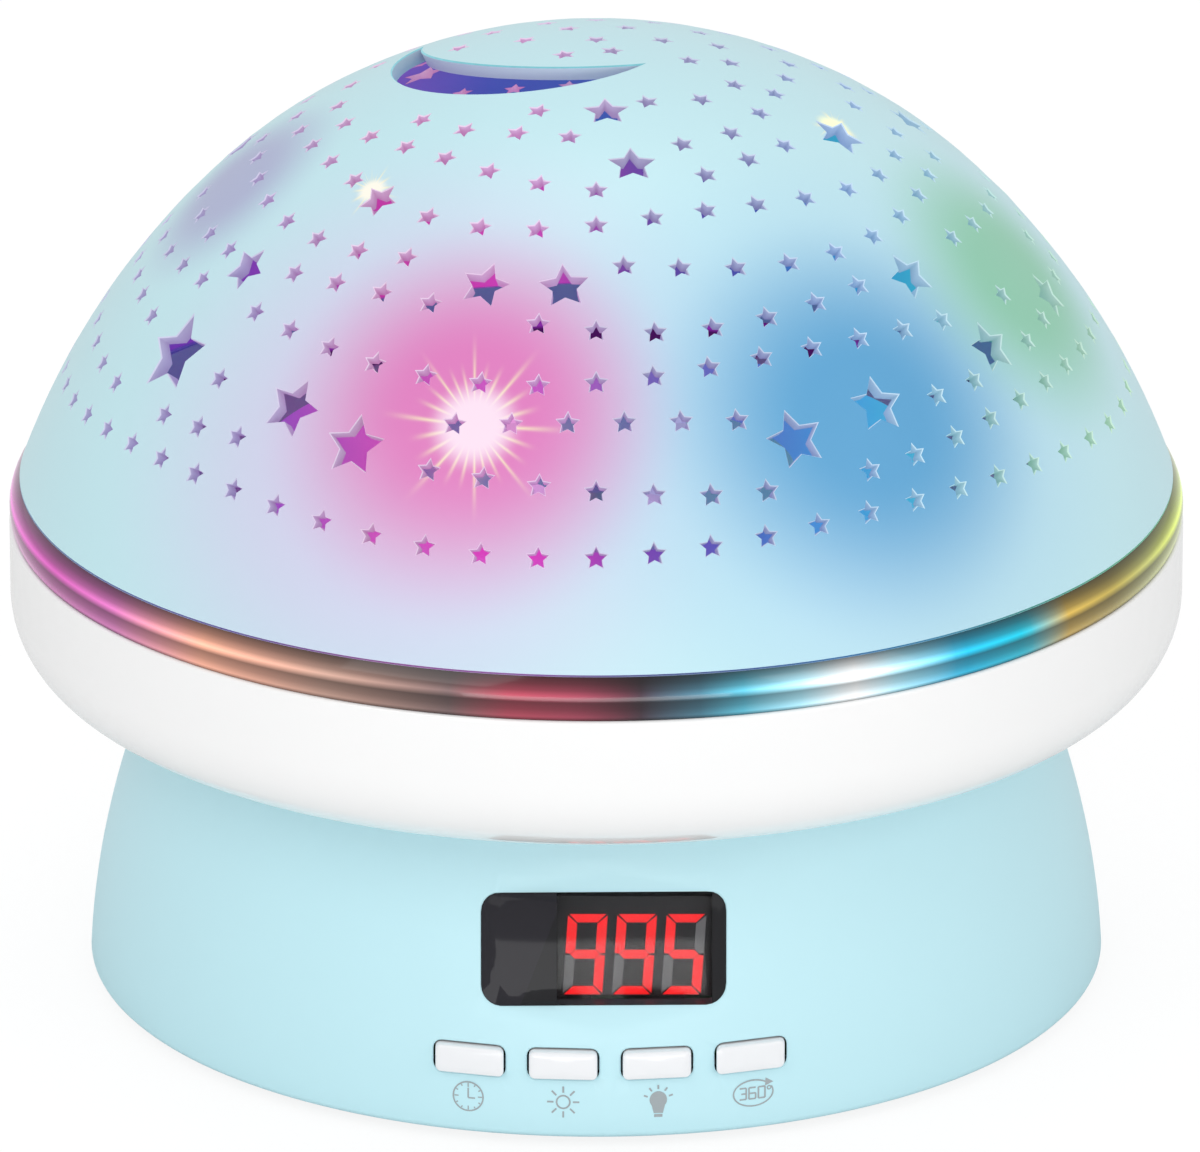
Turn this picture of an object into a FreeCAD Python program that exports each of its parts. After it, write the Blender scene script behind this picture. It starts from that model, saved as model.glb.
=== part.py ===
import FreeCAD, Part
import os
from math import cos, pi, radians, sin, sqrt, tan

V = FreeCAD.Vector
UP = V(0, 0, 1)
ORIGIN = V(0, 0, 0)

# Star night light projector, in millimetres.
# The origin is the middle of the table contact, +Z is up and the keys face -Y.

# Dome: three tangent arcs from the top to the rim, each with the slope where it ends. The side's
# radius follows from the rim, which stands a step inside the belt.
CROWN_R = 63.0
CROWN_SLOPE = 32.5
SHOULDER_R = 57.4
SHOULDER_SLOPE = 44.1
RIM_SLOPE = 69.8
RIM_STEP = 1.2
DOME_WALL = 1.6
OUTER_BANDS = (5, 2, 5)
INNER_BANDS = 9
SKIRT_DEPTH = 3.0
SKIRT_WALL = 1.5
SKIRT_SEAT = 2.2

# Star holes: rows of small stars, and larger ones, each with its azimuth in degrees, its way down
# along the dome in hundredths of the whole way, its size in small stars and its tilt in degrees
STAR_WAIST = 0.5
SMALL_STAR_R = 1.15
SMALL_ROW_STEP = 14.0
SMALL_ROW_FIRST = 23.0
SMALL_PITCH = 30.0
STAR_CLEAR = 1.6
BIG_STARS = (
    (-62, 70.4, 4.3, -14),
    (-60, 56.5, 2.5, 12),
    (-39, 71.0, 3.1, 10),
    (-29, 73.9, 3.1, -4),
    (-17.5, 50.1, 2.5, 8),
    (-5, 49.5, 2.5, -8),
    (9, 29.7, 2.4, 4),
    (4, 18.6, 2.3, 0),
    (24, 72.2, 3.0, -8),
    (36, 69.9, 2.9, 8),
    (52, 55.3, 2.6, -6),
    (58, 68.1, 2.8, 6),
    (79, 68.1, 2.6, 0),
    (69, 34.3, 2.8, 0),
    (-45, 40.8, 2.1, 10),
    (100, 43.1, 2.4, 0),
    (112, 65.2, 3.1, 8),
    (132, 51.2, 2.6, -8),
    (150, 71.0, 3.0, 6),
    (172, 53.6, 2.6, 0),
    (-168, 72.2, 3.1, -10),
    (-148, 46.6, 2.5, 8),
    (-128, 66.4, 3.0, 0),
    (-104, 51.2, 2.6, -6),
)

# Crescent moon: a disc less a larger one, both seen from above
MOON_R = 15.4
MOON_X = -7.2
MOON_Y = 4.5
MOON_BITE_R = 17.7
MOON_BITE_X = 5.7
MOON_BITE_Y = 7.5

# Clear ring
RING_H = 4.7
RING_BULGE = 0.7
RING_BANDS = 4
RING_WALL = 2.9
RING_LIP = 2.5
RING_SET_IN = 0.4

# White bowl: the belt is straight, then rounds under in two tangent arcs to the flat floor
BELT_R = 65.0
BELT_TOP_Z = 52.9
BELT_H = 8.4
BELT_ROUND_R = 8.6
BELT_ROUND_TURN = 70.0
UNDER_R = 30.2
BOWL_WALL = 2.2
UNDER_BANDS = 6
INNER_UNDER_BANDS = 3
HUB_WALL = 2.4
HUB_RISE = 9.2
BOWL_RIBS = 6
RIB_T = 1.6
RIB_H = 5.0
GEAR_SCREWS = 3

# Base housing: its radius falls from the foot rim to the deck by a straight and a curved share
BASE_R = 56.6
BASE_RIM_Z = 1.0
BASE_LEAN = 1.6
BASE_CURVE = 6.3
BASE_BANDS = 6
INNER_BASE_BANDS = 3
BASE_WALL = 2.2
HEAD_GAP = 0.5
DECK_T = 2.0
DECK_BREAK = 0.6
RIM_BREAK = 0.6
WELL_DEPTH = 6.9
WELL_T = 1.8

# Column, bush and running parts of the head
POST_R = 6.6
POST_BORE_R = 4.2
POST_DROP = 0.4
POST_FLANGE_R = 9.6
POST_FLANGE_T = 2.4
BUSH_WALL = 1.3
RUN_GAP = 0.05
WASHER_T = 0.8
CLIP_T = 1.2
CLIP_GROOVE = 0.8
CLIP_WIDTH = 3.4
CLIP_GAP_ANGLE = 60.0

# Drive gears, module in millimetres
MODULE = 1.0
RING_TEETH = 48
PINION_TEETH = 12
TOOTH_REACH = 0.8
TOOTH_GAP = 0.12
FLANK_ANGLE = 20.0
RING_GEAR_H = 5.6
PINION_H = 4.4
PINION_LIFT = 0.3
PINION_SHAFT_R = 1.25
MOTOR_R = 12.5
MOTOR_H = 7.6
MOTOR_EAR_AT = 17.0
MOTOR_EAR_R = 3.0
MOTOR_EAR_T = 1.2

# Screws
SCREW_R = 1.1
SCREW_HEAD_R = 2.2
SCREW_HEAD_H = 1.3
SCREW_LEN = 8.0
SCREW_GAP = 0.05
SCREW_WEB = 0.8
BOSS_WALL = 1.7
POST_SCREWS = 3
LAMP_SCREWS = 3

# Front panel
WINDOW_X = 0.8
WINDOW_RISE = 0.613
WINDOW_W = 26.5
WINDOW_H = 11.8
WINDOW_CORNER = 2.0
WINDOW_T = 1.2
WINDOW_LEDGE = 1.0
FIT_GAP = 0.1
DIGITS_W = 25.0
DIGITS_H = 11.6
DIGITS_DROP = 1.6
DIGITS_SET_BACK = 9.6
KEYS_X = 1.5
KEYS_Z = 9.4
KEY_PITCH = 10.15
KEY_NAMES = ("timer", "brightness", "lamp", "rotation")
KEY_W = 7.4
KEY_H = 3.0
KEY_CORNER = 0.6
KEY_GAP = 0.25
KEY_PROUD = 0.8
KEY_TRAVEL = 0.6
KEY_FLANGE = 1.0
KEY_FLANGE_T = 1.0
BOARD_SET_BACK = 15.1
BOARD_T = 1.6
BOARD_W = 46.0
BOARD_LIFT = 0.7
BOARD_DROP = 3.1
SWITCH_W = 6.0
SWITCH_D = 3.5
PLUNGER_R = 1.6
PLUNGER_D = 0.7
RAIL_W = 3.0
RAIL_D = 2.2

# Lamp on the column
TRAY_R = 38.0
TRAY_RISE = 4.0
TRAY_T = 1.4
LAMP_BOARD_R = 22.0
LAMP_BOARD_T = 1.6
LAMP_STANDOFF = 2.0
LAMP_COUNT = 6
LAMP_RING_R = 15.0
LAMP_W = 5.0
LAMP_H = 1.6
LAMP_LENS_R = 2.0
LAMP_LENS_H = 0.8

# Underside
COVER_T = 2.4
COVER_Z = 1.5
COVER_GAP = 0.25
BAY_W = 44.0
BAY_L = 47.0
BAY_Y = 7.0
BAY_TOP_Z = 15.6
BAY_WALL = 1.6
DOOR_T = 1.6
DOOR_GAP = 0.3
HINGE_R = 0.9
HINGE_PIN_R = 0.5
HINGE_PIN_LEN = 1.0
LATCH_W = 8.0
FOOT_R = 4.6
FOOT_SET_IN = 9.6
FOOT_SINK = 0.6
COVER_SCREW_SET_IN = 11.2
COVER_SCREW_AZ = (78, -78, 155, -155)
CONTACT_T = 0.4
CONTACT_W = 7.0
CELL_PITCH = 10.8
CELLS = 4

# Socket at the back
JACK_Z = 9.5
JACK_R = 3.2
JACK_BODY_W = 9.0
JACK_BODY_L = 11.0
JACK_PIN_R = 1.0
JACK_PIN_LEN = 6.0

# What follows from the sizes above
RIM_R = BELT_R - RIM_STEP
RIM_Z = BELT_TOP_Z + RING_H
SKIRT_R = RIM_R - SKIRT_SEAT
BELT_STRAIGHT_Z = BELT_TOP_Z - BELT_H
BOARD_Y = -BASE_R + BOARD_SET_BACK
DIGITS_FACE_Y = -BASE_R + DIGITS_SET_BACK
FOOT_AT = BASE_R - FOOT_SET_IN
COVER_SCREW_AT = BASE_R - COVER_SCREW_SET_IN


def rz(r, z):
    """Point of a section: radius and height."""
    return V(r, 0, z)


def turned(points):
    """Solid turned about Z from a straight-sided section given as (radius, height) pairs."""
    corners = [rz(r, z) for r, z in points]
    return Part.Face(Part.makePolygon(corners + corners[:1])).revolve(ORIGIN, UP, 360)


def tube(r_out, r_in, z_low, z_high, x=0.0, y=0.0):
    """Upright ring, or a plain cylinder where the inner radius is zero."""
    solid = Part.makeCylinder(r_out, z_high - z_low, V(x, y, z_low))
    if r_in > 0:
        solid = solid.cut(Part.makeCylinder(r_in, z_high - z_low, V(x, y, z_low)))
    return solid


def block(x_low, x_high, y_low, y_high, z_low, z_high):
    """Box between two corners."""
    return Part.makeBox(x_high - x_low, y_high - y_low, z_high - z_low, V(x_low, y_low, z_low))


def around(azimuth, radius):
    """Place in plan at an azimuth that counts from the front (-Y) towards +X."""
    a = radians(azimuth)
    return radius * sin(a), -radius * cos(a)


def rounded_bar(x, z, width, height, corner, y_low, y_high):
    """Bar along Y with a rounded-rectangle section."""
    plate = Part.makeBox(width, y_high - y_low, height, V(x - width / 2, y_low, z - height / 2))
    upright = [e for e in plate.Edges if abs(e.tangentAt(e.FirstParameter).y) > 0.99]
    return plate.makeFillet(corner, upright)


def fused(solids):
    """One solid from several that touch."""
    return solids[0].fuse(solids[1:]).removeSplitter()


# Dome

def dome_arcs():
    """Centre, radius and the slopes at both ends of each arc of the dome, from the top down."""
    slopes = [0.0, radians(CROWN_SLOPE), radians(SHOULDER_SLOPE), radians(RIM_SLOPE)]
    crown_reach = CROWN_R * sin(slopes[1])
    shoulder_reach = SHOULDER_R * (sin(slopes[2]) - sin(slopes[1]))
    side_r = (RIM_R - crown_reach - shoulder_reach) / (sin(slopes[3]) - sin(slopes[2]))
    radii = [CROWN_R, SHOULDER_R, side_r]
    drops = [radii[i] * (cos(slopes[i]) - cos(slopes[i + 1])) for i in range(3)]
    r, z = 0.0, RIM_Z + sum(drops) - CROWN_R
    arcs = []
    for i, radius in enumerate(radii):
        if i:
            r += (radii[i - 1] - radius) * sin(slopes[i])
            z += (radii[i - 1] - radius) * cos(slopes[i])
        arcs.append((r, z, radius, slopes[i], slopes[i + 1]))
    return arcs


def dome_at(slope, inset=0.0):
    """Point of the dome's section where it has this slope."""
    for r, z, radius, start, end in dome_arcs():
        if slope <= end + 1e-9:
            break
    return rz(r + (radius - inset) * sin(slope), z + (radius - inset) * cos(slope))


def dome_slope(way_down):
    """Slope of the dome at a length along its section from the top."""
    for r, z, radius, start, end in dome_arcs():
        if way_down <= radius * (end - start):
            break
        way_down -= radius * (end - start)
    return start + way_down / radius


DOME_RIM = dome_at(radians(RIM_SLOPE))
DOME_TOP_Z = dome_at(0.0).z
DOME_WAY = sum(radius * (end - start) for r, z, radius, start, end in dome_arcs())


def star(azimuth, way_down, size, tilt):
    """Prism of a five-pointed star, square to the dome where it stands."""
    slope = dome_slope(way_down)
    point = dome_at(slope)
    a = radians(azimuth)
    out = V(sin(a), -cos(a), 0)
    side = V(cos(a), sin(a), 0)
    normal = out * sin(slope) + UP * cos(slope)
    rise = UP * sin(slope) - out * cos(slope)
    centre = out * point.x + UP * point.z + normal * DOME_WALL
    tips = []
    for i in range(10):
        reach = size if i % 2 == 0 else size * STAR_WAIST
        turn = radians(tilt) + i * pi / 5
        tips.append(centre + side * (reach * sin(turn)) + rise * (reach * cos(turn)))
    return Part.Face(Part.makePolygon(tips + tips[:1])).extrude(normal * (-4 * DOME_WALL))


def moon():
    """Crescent prism above the front left of the top."""
    height = 4 * CROWN_R * (1 - cos(radians(CROWN_SLOPE)))
    low = DOME_TOP_Z - height
    disc = Part.makeCylinder(MOON_R, 2 * height, V(MOON_X, MOON_Y, low))
    bite_at = V(MOON_X + MOON_BITE_X, MOON_Y + MOON_BITE_Y, low)
    return disc.cut(Part.makeCylinder(MOON_BITE_R, 2 * height, bite_at))


def small_stars():
    """Azimuth and way down of the small stars: staggered rows that keep clear of the large ones."""
    places = []
    row = 0
    way_down = SMALL_ROW_FIRST
    while dome_slope(way_down) < radians(RIM_SLOPE - 4):
        radius = dome_at(dome_slope(way_down)).x
        count = max(3, round(2 * pi * radius / SMALL_PITCH))
        for i in range(count):
            azimuth = 360 * (i + 0.5 * (row % 2)) / count
            x, y = around(azimuth, radius)
            clear = True
            for other, share, size, tilt in BIG_STARS:
                down = DOME_WAY * share / 100
                ox, oy = around(other, dome_at(dome_slope(down)).x)
                gap = sqrt((x - ox) ** 2 + (y - oy) ** 2 + (way_down - down) ** 2)
                if gap < (size + 1) * SMALL_STAR_R + STAR_CLEAR:
                    clear = False
            if sqrt((x - MOON_X) ** 2 + (y - MOON_Y) ** 2) < MOON_R + SMALL_STAR_R + STAR_CLEAR:
                clear = False
            if clear:
                places.append((azimuth, way_down))
        way_down += SMALL_ROW_STEP
        row += 1
    return places


def star_dome():
    """Pierced dome with an inner skirt that plugs into the clear ring."""
    outer_points = [dome_at(0.0)]
    for bands, (r, z, radius, start, end) in zip(OUTER_BANDS, dome_arcs()):
        outer_points += [dome_at(start + (end - start) * (i + 1) / bands) for i in range(bands)]
    outer = turned([(p.x, p.z) for p in outer_points] + [(0, RIM_Z)])
    step = radians(RIM_SLOPE) / INNER_BANDS
    inner_points = [dome_at(i * step, DOME_WALL) for i in range(INNER_BANDS + 1)]
    low = RIM_Z - DOME_WALL
    inner = turned([(p.x, p.z) for p in inner_points] + [(inner_points[-1].x, low), (0, low)])
    skirt = turned((
        (SKIRT_R - SKIRT_WALL, RIM_Z - SKIRT_DEPTH),
        (SKIRT_R, RIM_Z - SKIRT_DEPTH),
        (SKIRT_R, RIM_Z),
        (RIM_R - DOME_WALL, RIM_Z),
        (RIM_R - DOME_WALL, RIM_Z + DOME_WALL),
        (SKIRT_R - SKIRT_WALL, RIM_Z + DOME_WALL),
    ))
    dome = outer.cut(inner).fuse(skirt)
    holes = [moon()]
    for azimuth, share, size, tilt in BIG_STARS:
        holes.append(star(azimuth, DOME_WAY * share / 100, size * SMALL_STAR_R, tilt))
    for azimuth, way_down in small_stars():
        holes.append(star(azimuth, way_down, SMALL_STAR_R, 0))
    return dome.cut(holes)


# Clear ring

def light_ring():
    """Clear ring between dome and belt, with a lip that plugs into the bowl."""
    inside = SKIRT_R + FIT_GAP * 2
    low_r = BELT_R - RING_SET_IN
    lip_r = BELT_R - BOWL_WALL - FIT_GAP
    points = []
    for i in range(RING_BANDS + 1):
        share = i / RING_BANDS
        bulge = 4 * share * (1 - share) * RING_BULGE
        points.append((low_r + (RIM_R - low_r) * share + bulge, BELT_TOP_Z + RING_H * share))
    points += [
        (inside, RIM_Z),
        (inside, RIM_Z - SKIRT_DEPTH - FIT_GAP),
        (lip_r - RING_WALL + FIT_GAP, RIM_Z - SKIRT_DEPTH - FIT_GAP),
        (lip_r - RING_WALL + FIT_GAP, BELT_TOP_Z - RING_LIP),
        (lip_r, BELT_TOP_Z - RING_LIP),
        (lip_r, BELT_TOP_Z),
    ]
    return turned(points)


# White bowl

def belt_at(turn, inset=0.0):
    """Point of the belt's rounded underside where its outward direction has turned down by this angle."""
    first = radians(BELT_ROUND_TURN)
    if turn <= first:
        radius = BELT_ROUND_R
        r, z = BELT_R - BELT_ROUND_R, BELT_STRAIGHT_Z
    else:
        radius = UNDER_R
        r = BELT_R - BELT_ROUND_R + (BELT_ROUND_R - UNDER_R) * cos(first)
        z = BELT_STRAIGHT_Z - (BELT_ROUND_R - UNDER_R) * sin(first)
    return rz(r + (radius - inset) * cos(turn), z - (radius - inset) * sin(turn))


def belt_curve(inset, bands):
    """Section points from the straight belt down to the edge of the floor, less an inset."""
    first = radians(BELT_ROUND_TURN)
    turns = [first * i / bands for i in range(bands + 1)] + [(first + pi / 2) / 2, pi / 2]
    return [(belt_at(turn, inset).x, belt_at(turn, inset).z) for turn in turns]


BOWL_FLOOR_Z = belt_at(pi / 2).z
DECK_Z = BOWL_FLOOR_Z - HEAD_GAP
WELL_FLOOR_Z = DECK_Z - WELL_DEPTH
HUB_TOP_Z = BOWL_FLOOR_Z + BOWL_WALL + HUB_RISE
POST_TOP_Z = BELT_TOP_Z - POST_DROP
FLOOR_R = belt_at(pi / 2).x
HUB_R = POST_R + RUN_GAP + BUSH_WALL + RUN_GAP
HUB_OUT_R = HUB_R + HUB_WALL
HUB_LOW_Z = WELL_FLOOR_Z + POST_FLANGE_T + WASHER_T
RING_PITCH_R = MODULE * RING_TEETH / 2
PINION_PITCH_R = MODULE * PINION_TEETH / 2
PINION_Y = RING_PITCH_R - PINION_PITCH_R
ROOT_DEPTH = TOOTH_REACH + 0.25 * MODULE
GEAR_SCREW_AT = RING_PITCH_R + ROOT_DEPTH + SCREW_WEB + SCREW_R
RING_GEAR_OUT_R = GEAR_SCREW_AT + SCREW_R + SCREW_WEB
WELL_R = RING_GEAR_OUT_R + SCREW_WEB


def head_bowl():
    """Bowl with the belt, the hub, radial ribs and bosses for the ring gear's screws."""
    floor_top = BOWL_FLOOR_Z + BOWL_WALL
    section = [(BELT_R - RING_SET_IN, BELT_TOP_Z), (BELT_R, BELT_TOP_Z - RING_SET_IN)]
    section += belt_curve(0.0, UNDER_BANDS)
    section += [(HUB_OUT_R, BOWL_FLOOR_Z), (HUB_OUT_R, floor_top)]
    section += reversed(belt_curve(BOWL_WALL, INNER_UNDER_BANDS))
    section.append((BELT_R - BOWL_WALL, BELT_TOP_Z))
    solids = [turned(section), tube(HUB_OUT_R, HUB_R, HUB_LOW_Z, HUB_TOP_Z)]
    for i in range(BOWL_RIBS):
        rib = block(HUB_OUT_R - 0.5, FLOOR_R, -RIB_T / 2, RIB_T / 2, floor_top - 0.5, floor_top + RIB_H)
        rib.rotate(ORIGIN, UP, 360 * (i + 0.5) / BOWL_RIBS)
        solids.append(rib)
    for i in range(GEAR_SCREWS):
        x, y = around(360 * i / GEAR_SCREWS, GEAR_SCREW_AT)
        solids.append(tube(SCREW_R + BOSS_WALL, 0, floor_top - 0.5, floor_top + RIB_H, x, y))
    bowl = fused(solids)
    for i in range(GEAR_SCREWS):
        x, y = around(360 * i / GEAR_SCREWS, GEAR_SCREW_AT)
        bowl = bowl.cut(tube(SCREW_R + SCREW_GAP, 0, BOWL_FLOOR_Z - 1, floor_top + RIB_H - 1, x, y))
    return bowl


# Screws

def screw(x, y, head_z, length, up):
    """Pan-head screw whose shank leaves the head upwards or downwards."""
    way = 1 if up else -1
    head = Part.makeCylinder(SCREW_HEAD_R, SCREW_HEAD_H, V(x, y, head_z), V(0, 0, way))
    shank_at = V(x, y, head_z + way * SCREW_HEAD_H)
    return head.fuse(Part.makeCylinder(SCREW_R, length, shank_at, V(0, 0, way))).removeSplitter()


# Drive

def gear_face(teeth, phase, tip_change, root_change, thin):
    """Flat gear outline with straight-flanked teeth; the changes count outwards from the pitch circle."""
    pitch_r = MODULE * teeth / 2
    half = pi * MODULE / 4 / pitch_r - thin / pitch_r
    points = []
    for i in range(teeth):
        middle = phase + 2 * pi * i / teeth
        tip_half = half - tip_change * tan(radians(FLANK_ANGLE)) / pitch_r
        root_half = half - root_change * tan(radians(FLANK_ANGLE)) / pitch_r
        for radius, angle in (
            (pitch_r + root_change, middle - root_half),
            (pitch_r + tip_change, middle - tip_half),
            (pitch_r + tip_change, middle + tip_half),
            (pitch_r + root_change, middle + root_half),
        ):
            points.append(V(radius * cos(angle), radius * sin(angle), 0))
    return Part.Face(Part.makePolygon(points + points[:1]))


RING_GEAR_TOP_Z = BOWL_FLOOR_Z
RING_GEAR_LOW_Z = RING_GEAR_TOP_Z - RING_GEAR_H


def ring_gear():
    """Internal gear: the space inside it is an external gear outline with fat teeth."""
    body = tube(RING_GEAR_OUT_R, 0, RING_GEAR_LOW_Z, RING_GEAR_TOP_Z)
    space = gear_face(RING_TEETH, pi / 2, ROOT_DEPTH, -TOOTH_REACH, -TOOTH_GAP)
    space.translate(V(0, 0, RING_GEAR_LOW_Z))
    gear = body.cut(space.extrude(UP * RING_GEAR_H))
    pockets = []
    for i in range(GEAR_SCREWS):
        x, y = around(360 * i / GEAR_SCREWS, GEAR_SCREW_AT)
        pockets.append(tube(SCREW_R + SCREW_GAP, 0, RING_GEAR_LOW_Z, RING_GEAR_TOP_Z, x, y))
    return gear.cut(pockets)


def ring_gear_screws():
    """Screws up through the ring gear into the bowl's bosses."""
    screws = []
    for i in range(GEAR_SCREWS):
        x, y = around(360 * i / GEAR_SCREWS, GEAR_SCREW_AT)
        screws.append(screw(x, y, RING_GEAR_LOW_Z - SCREW_HEAD_H, SCREW_LEN, True))
    return Part.makeCompound(screws)


def drive_pinion():
    """Pinion pressed on the motor's shaft; a gap between teeth meets a tooth of the ring gear."""
    face = gear_face(PINION_TEETH, pi / 2, TOOTH_REACH, -ROOT_DEPTH, TOOTH_GAP)
    low = RING_GEAR_LOW_Z + PINION_LIFT
    face.translate(V(0, PINION_Y, low))
    gear = face.extrude(UP * PINION_H)
    return gear.cut(tube(PINION_SHAFT_R + RUN_GAP, 0, low, low + PINION_H, 0, PINION_Y))


MOTOR_TOP_Z = WELL_FLOOR_Z - WELL_T


def gear_motor():
    """Flat geared motor with two ears and a shaft."""
    low = MOTOR_TOP_Z - MOTOR_H
    solids = [tube(MOTOR_R, 0, low, MOTOR_TOP_Z, 0, PINION_Y)]
    for side in (-1, 1):
        x = side * MOTOR_EAR_AT
        solids.append(tube(MOTOR_EAR_R, 0, MOTOR_TOP_Z - MOTOR_EAR_T, MOTOR_TOP_Z, x, PINION_Y))
    arm_x = MOTOR_EAR_AT
    solids.append(block(-arm_x, arm_x, PINION_Y - MOTOR_EAR_R, PINION_Y + MOTOR_EAR_R,
                        MOTOR_TOP_Z - MOTOR_EAR_T, MOTOR_TOP_Z))
    shaft_top = RING_GEAR_LOW_Z + PINION_LIFT + PINION_H
    solids.append(tube(PINION_SHAFT_R, 0, MOTOR_TOP_Z - 1, shaft_top, 0, PINION_Y))
    motor = fused(solids)
    for side in (-1, 1):
        x = side * MOTOR_EAR_AT
        motor = motor.cut(tube(SCREW_R + SCREW_GAP, 0, low, MOTOR_TOP_Z, x, PINION_Y))
    return motor


def motor_screws():
    """Screws up through the motor's ears into the well's floor."""
    head_z = MOTOR_TOP_Z - MOTOR_EAR_T - SCREW_HEAD_H
    screws = [screw(s * MOTOR_EAR_AT, PINION_Y, head_z, WELL_T + MOTOR_EAR_T - 0.4, True) for s in (-1, 1)]
    return Part.makeCompound(screws)


# Base housing

def base_r(z, inset=0.0):
    """Outer radius of the base's wall at a height, less an inset."""
    share = (z - BASE_RIM_Z) / (DECK_Z - BASE_RIM_Z)
    return BASE_R - BASE_LEAN * share - BASE_CURVE * share ** 2 - inset


def base_block(inset, z_low, z_high, bands=BASE_BANDS):
    """Solid with the base's outline, drawn in by an inset, in straight bands."""
    heights = [z_low + (z_high - z_low) * i / bands for i in range(bands + 1)]
    return turned([(0, z_low)] + [(base_r(z, inset), z) for z in heights] + [(0, z_high)])


def base_outline():
    """Solid with the outer form: its edges are broken at the foot rim and at the deck."""
    low = BASE_RIM_Z + RIM_BREAK
    high = DECK_Z - DECK_BREAK
    heights = [low + (high - low) * i / BASE_BANDS for i in range(BASE_BANDS + 1)]
    section = [(0, BASE_RIM_Z), (base_r(BASE_RIM_Z, RIM_BREAK), BASE_RIM_Z)]
    section += [(base_r(z), z) for z in heights]
    section += [(base_r(DECK_Z, DECK_BREAK), DECK_Z), (0, DECK_Z)]
    return turned(section)


def key_x(i):
    """Middle of a key."""
    return KEYS_X + (i - (len(KEY_NAMES) - 1) / 2) * KEY_PITCH


COVER_TOP_Z = COVER_Z + COVER_T
FRONT = -BASE_R - KEY_PROUD - WINDOW_T
BOARD_LOW_Z = COVER_TOP_Z + BOARD_LIFT
BOARD_TOP_Z = DECK_Z - DECK_T - BOARD_DROP
WINDOW_Z = BASE_RIM_Z + (DECK_Z - BASE_RIM_Z) * WINDOW_RISE
DIGITS_Z = WINDOW_Z - DIGITS_DROP


def base_shell():
    """Flared housing with the well, screw bosses, board rails and the front and back cut-outs."""
    under_deck = DECK_Z - DECK_T
    outer = base_outline()
    hollow = base_block(BASE_WALL, BASE_RIM_Z - 1, under_deck, INNER_BASE_BANDS)
    well_wall = WELL_R + WELL_T
    hollow = hollow.cut(tube(well_wall, 0, MOTOR_TOP_Z, under_deck + 1))
    solids = [outer.cut(hollow)]
    inside = base_block(BASE_WALL / 2, COVER_TOP_Z, under_deck + DECK_T / 2, INNER_BASE_BANDS)
    for azimuth in COVER_SCREW_AZ:
        x, y = around(azimuth, COVER_SCREW_AT)
        solids.append(tube(SCREW_R + BOSS_WALL, 0, COVER_TOP_Z, under_deck + DECK_T / 2, x, y))
    for side in (-1, 1):
        solids.append(board_rail(side).common(inside))
    shell = fused(solids)
    cuts = [tube(WELL_R, 0, WELL_FLOOR_Z, DECK_Z + 1)]
    cuts.append(tube(POST_BORE_R, 0, MOTOR_TOP_Z - 1, WELL_FLOOR_Z + 1))
    cuts.append(tube(PINION_SHAFT_R + 4 * FIT_GAP, 0, MOTOR_TOP_Z - 1, WELL_FLOOR_Z + 1, 0, PINION_Y))
    for azimuth in COVER_SCREW_AZ:
        x, y = around(azimuth, COVER_SCREW_AT)
        cuts.append(tube(SCREW_R + SCREW_GAP, 0, COVER_TOP_Z - 1, COVER_TOP_Z + SCREW_LEN, x, y))
    for side in (-1, 1):
        cuts.append(tube(SCREW_R + SCREW_GAP, 0, MOTOR_TOP_Z - 1, WELL_FLOOR_Z + 1, side * MOTOR_EAR_AT, PINION_Y))
    for x, y in post_screw_places():
        cuts.append(tube(SCREW_R + SCREW_GAP, 0, MOTOR_TOP_Z - 1, WELL_FLOOR_Z + 1, x, y))
    for i in range(len(KEY_NAMES)):
        cuts.append(rounded_bar(key_x(i), KEYS_Z, KEY_W + 2 * KEY_GAP, KEY_H + 2 * KEY_GAP, KEY_CORNER,
                                FRONT, BOARD_Y))
    cuts.append(window_bar(FIT_GAP).cut(base_block(WINDOW_T + FIT_GAP, 0, DECK_Z)))
    cuts.append(window_bar(-WINDOW_LEDGE))
    cuts.append(Part.makeCylinder(JACK_R, BASE_R, V(0, 0, JACK_Z), V(0, 1, 0)))
    return shell.cut(cuts)


def board_rail(side):
    """Upright rail with a groove for one edge of the control board."""
    edge = BOARD_W / 2
    low, high = sorted((side * (edge - RAIL_D), side * (edge + RAIL_W)))
    rail = block(low, high, -BASE_R, BOARD_Y + BOARD_T + RAIL_D, BOARD_LOW_Z, DECK_Z)
    low, high = sorted((side * (edge - RAIL_D), side * (edge + FIT_GAP)))
    groove = block(low, high, BOARD_Y - FIT_GAP, BOARD_Y + BOARD_T + FIT_GAP, 0, BOARD_TOP_Z + FIT_GAP)
    clear = block(low, high, -BASE_R, BOARD_Y - RAIL_D, 0, DECK_Z)
    return rail.cut(groove).cut(clear)


def window_bar(grow):
    """Bar along Y through the window, grown or shrunk all round."""
    return rounded_bar(WINDOW_X, WINDOW_Z, WINDOW_W + 2 * grow, WINDOW_H + 2 * grow, WINDOW_CORNER + grow,
                       FRONT, BOARD_Y)


def display_window():
    """Curved black window that lies flush in its recess."""
    return window_bar(0.0).common(base_block(0.0, 0, DECK_Z).cut(base_block(WINDOW_T, -1, DECK_Z + 1)))


def display_digits():
    """Three-figure display module on the control board."""
    return block(WINDOW_X - DIGITS_W / 2, WINDOW_X + DIGITS_W / 2, DIGITS_FACE_Y, BOARD_Y,
                 DIGITS_Z - DIGITS_H / 2, DIGITS_Z + DIGITS_H / 2)


SWITCH_FACE_Y = BOARD_Y - SWITCH_D
KEY_BACK_Y = SWITCH_FACE_Y - PLUNGER_D - KEY_TRAVEL - FIT_GAP


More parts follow.
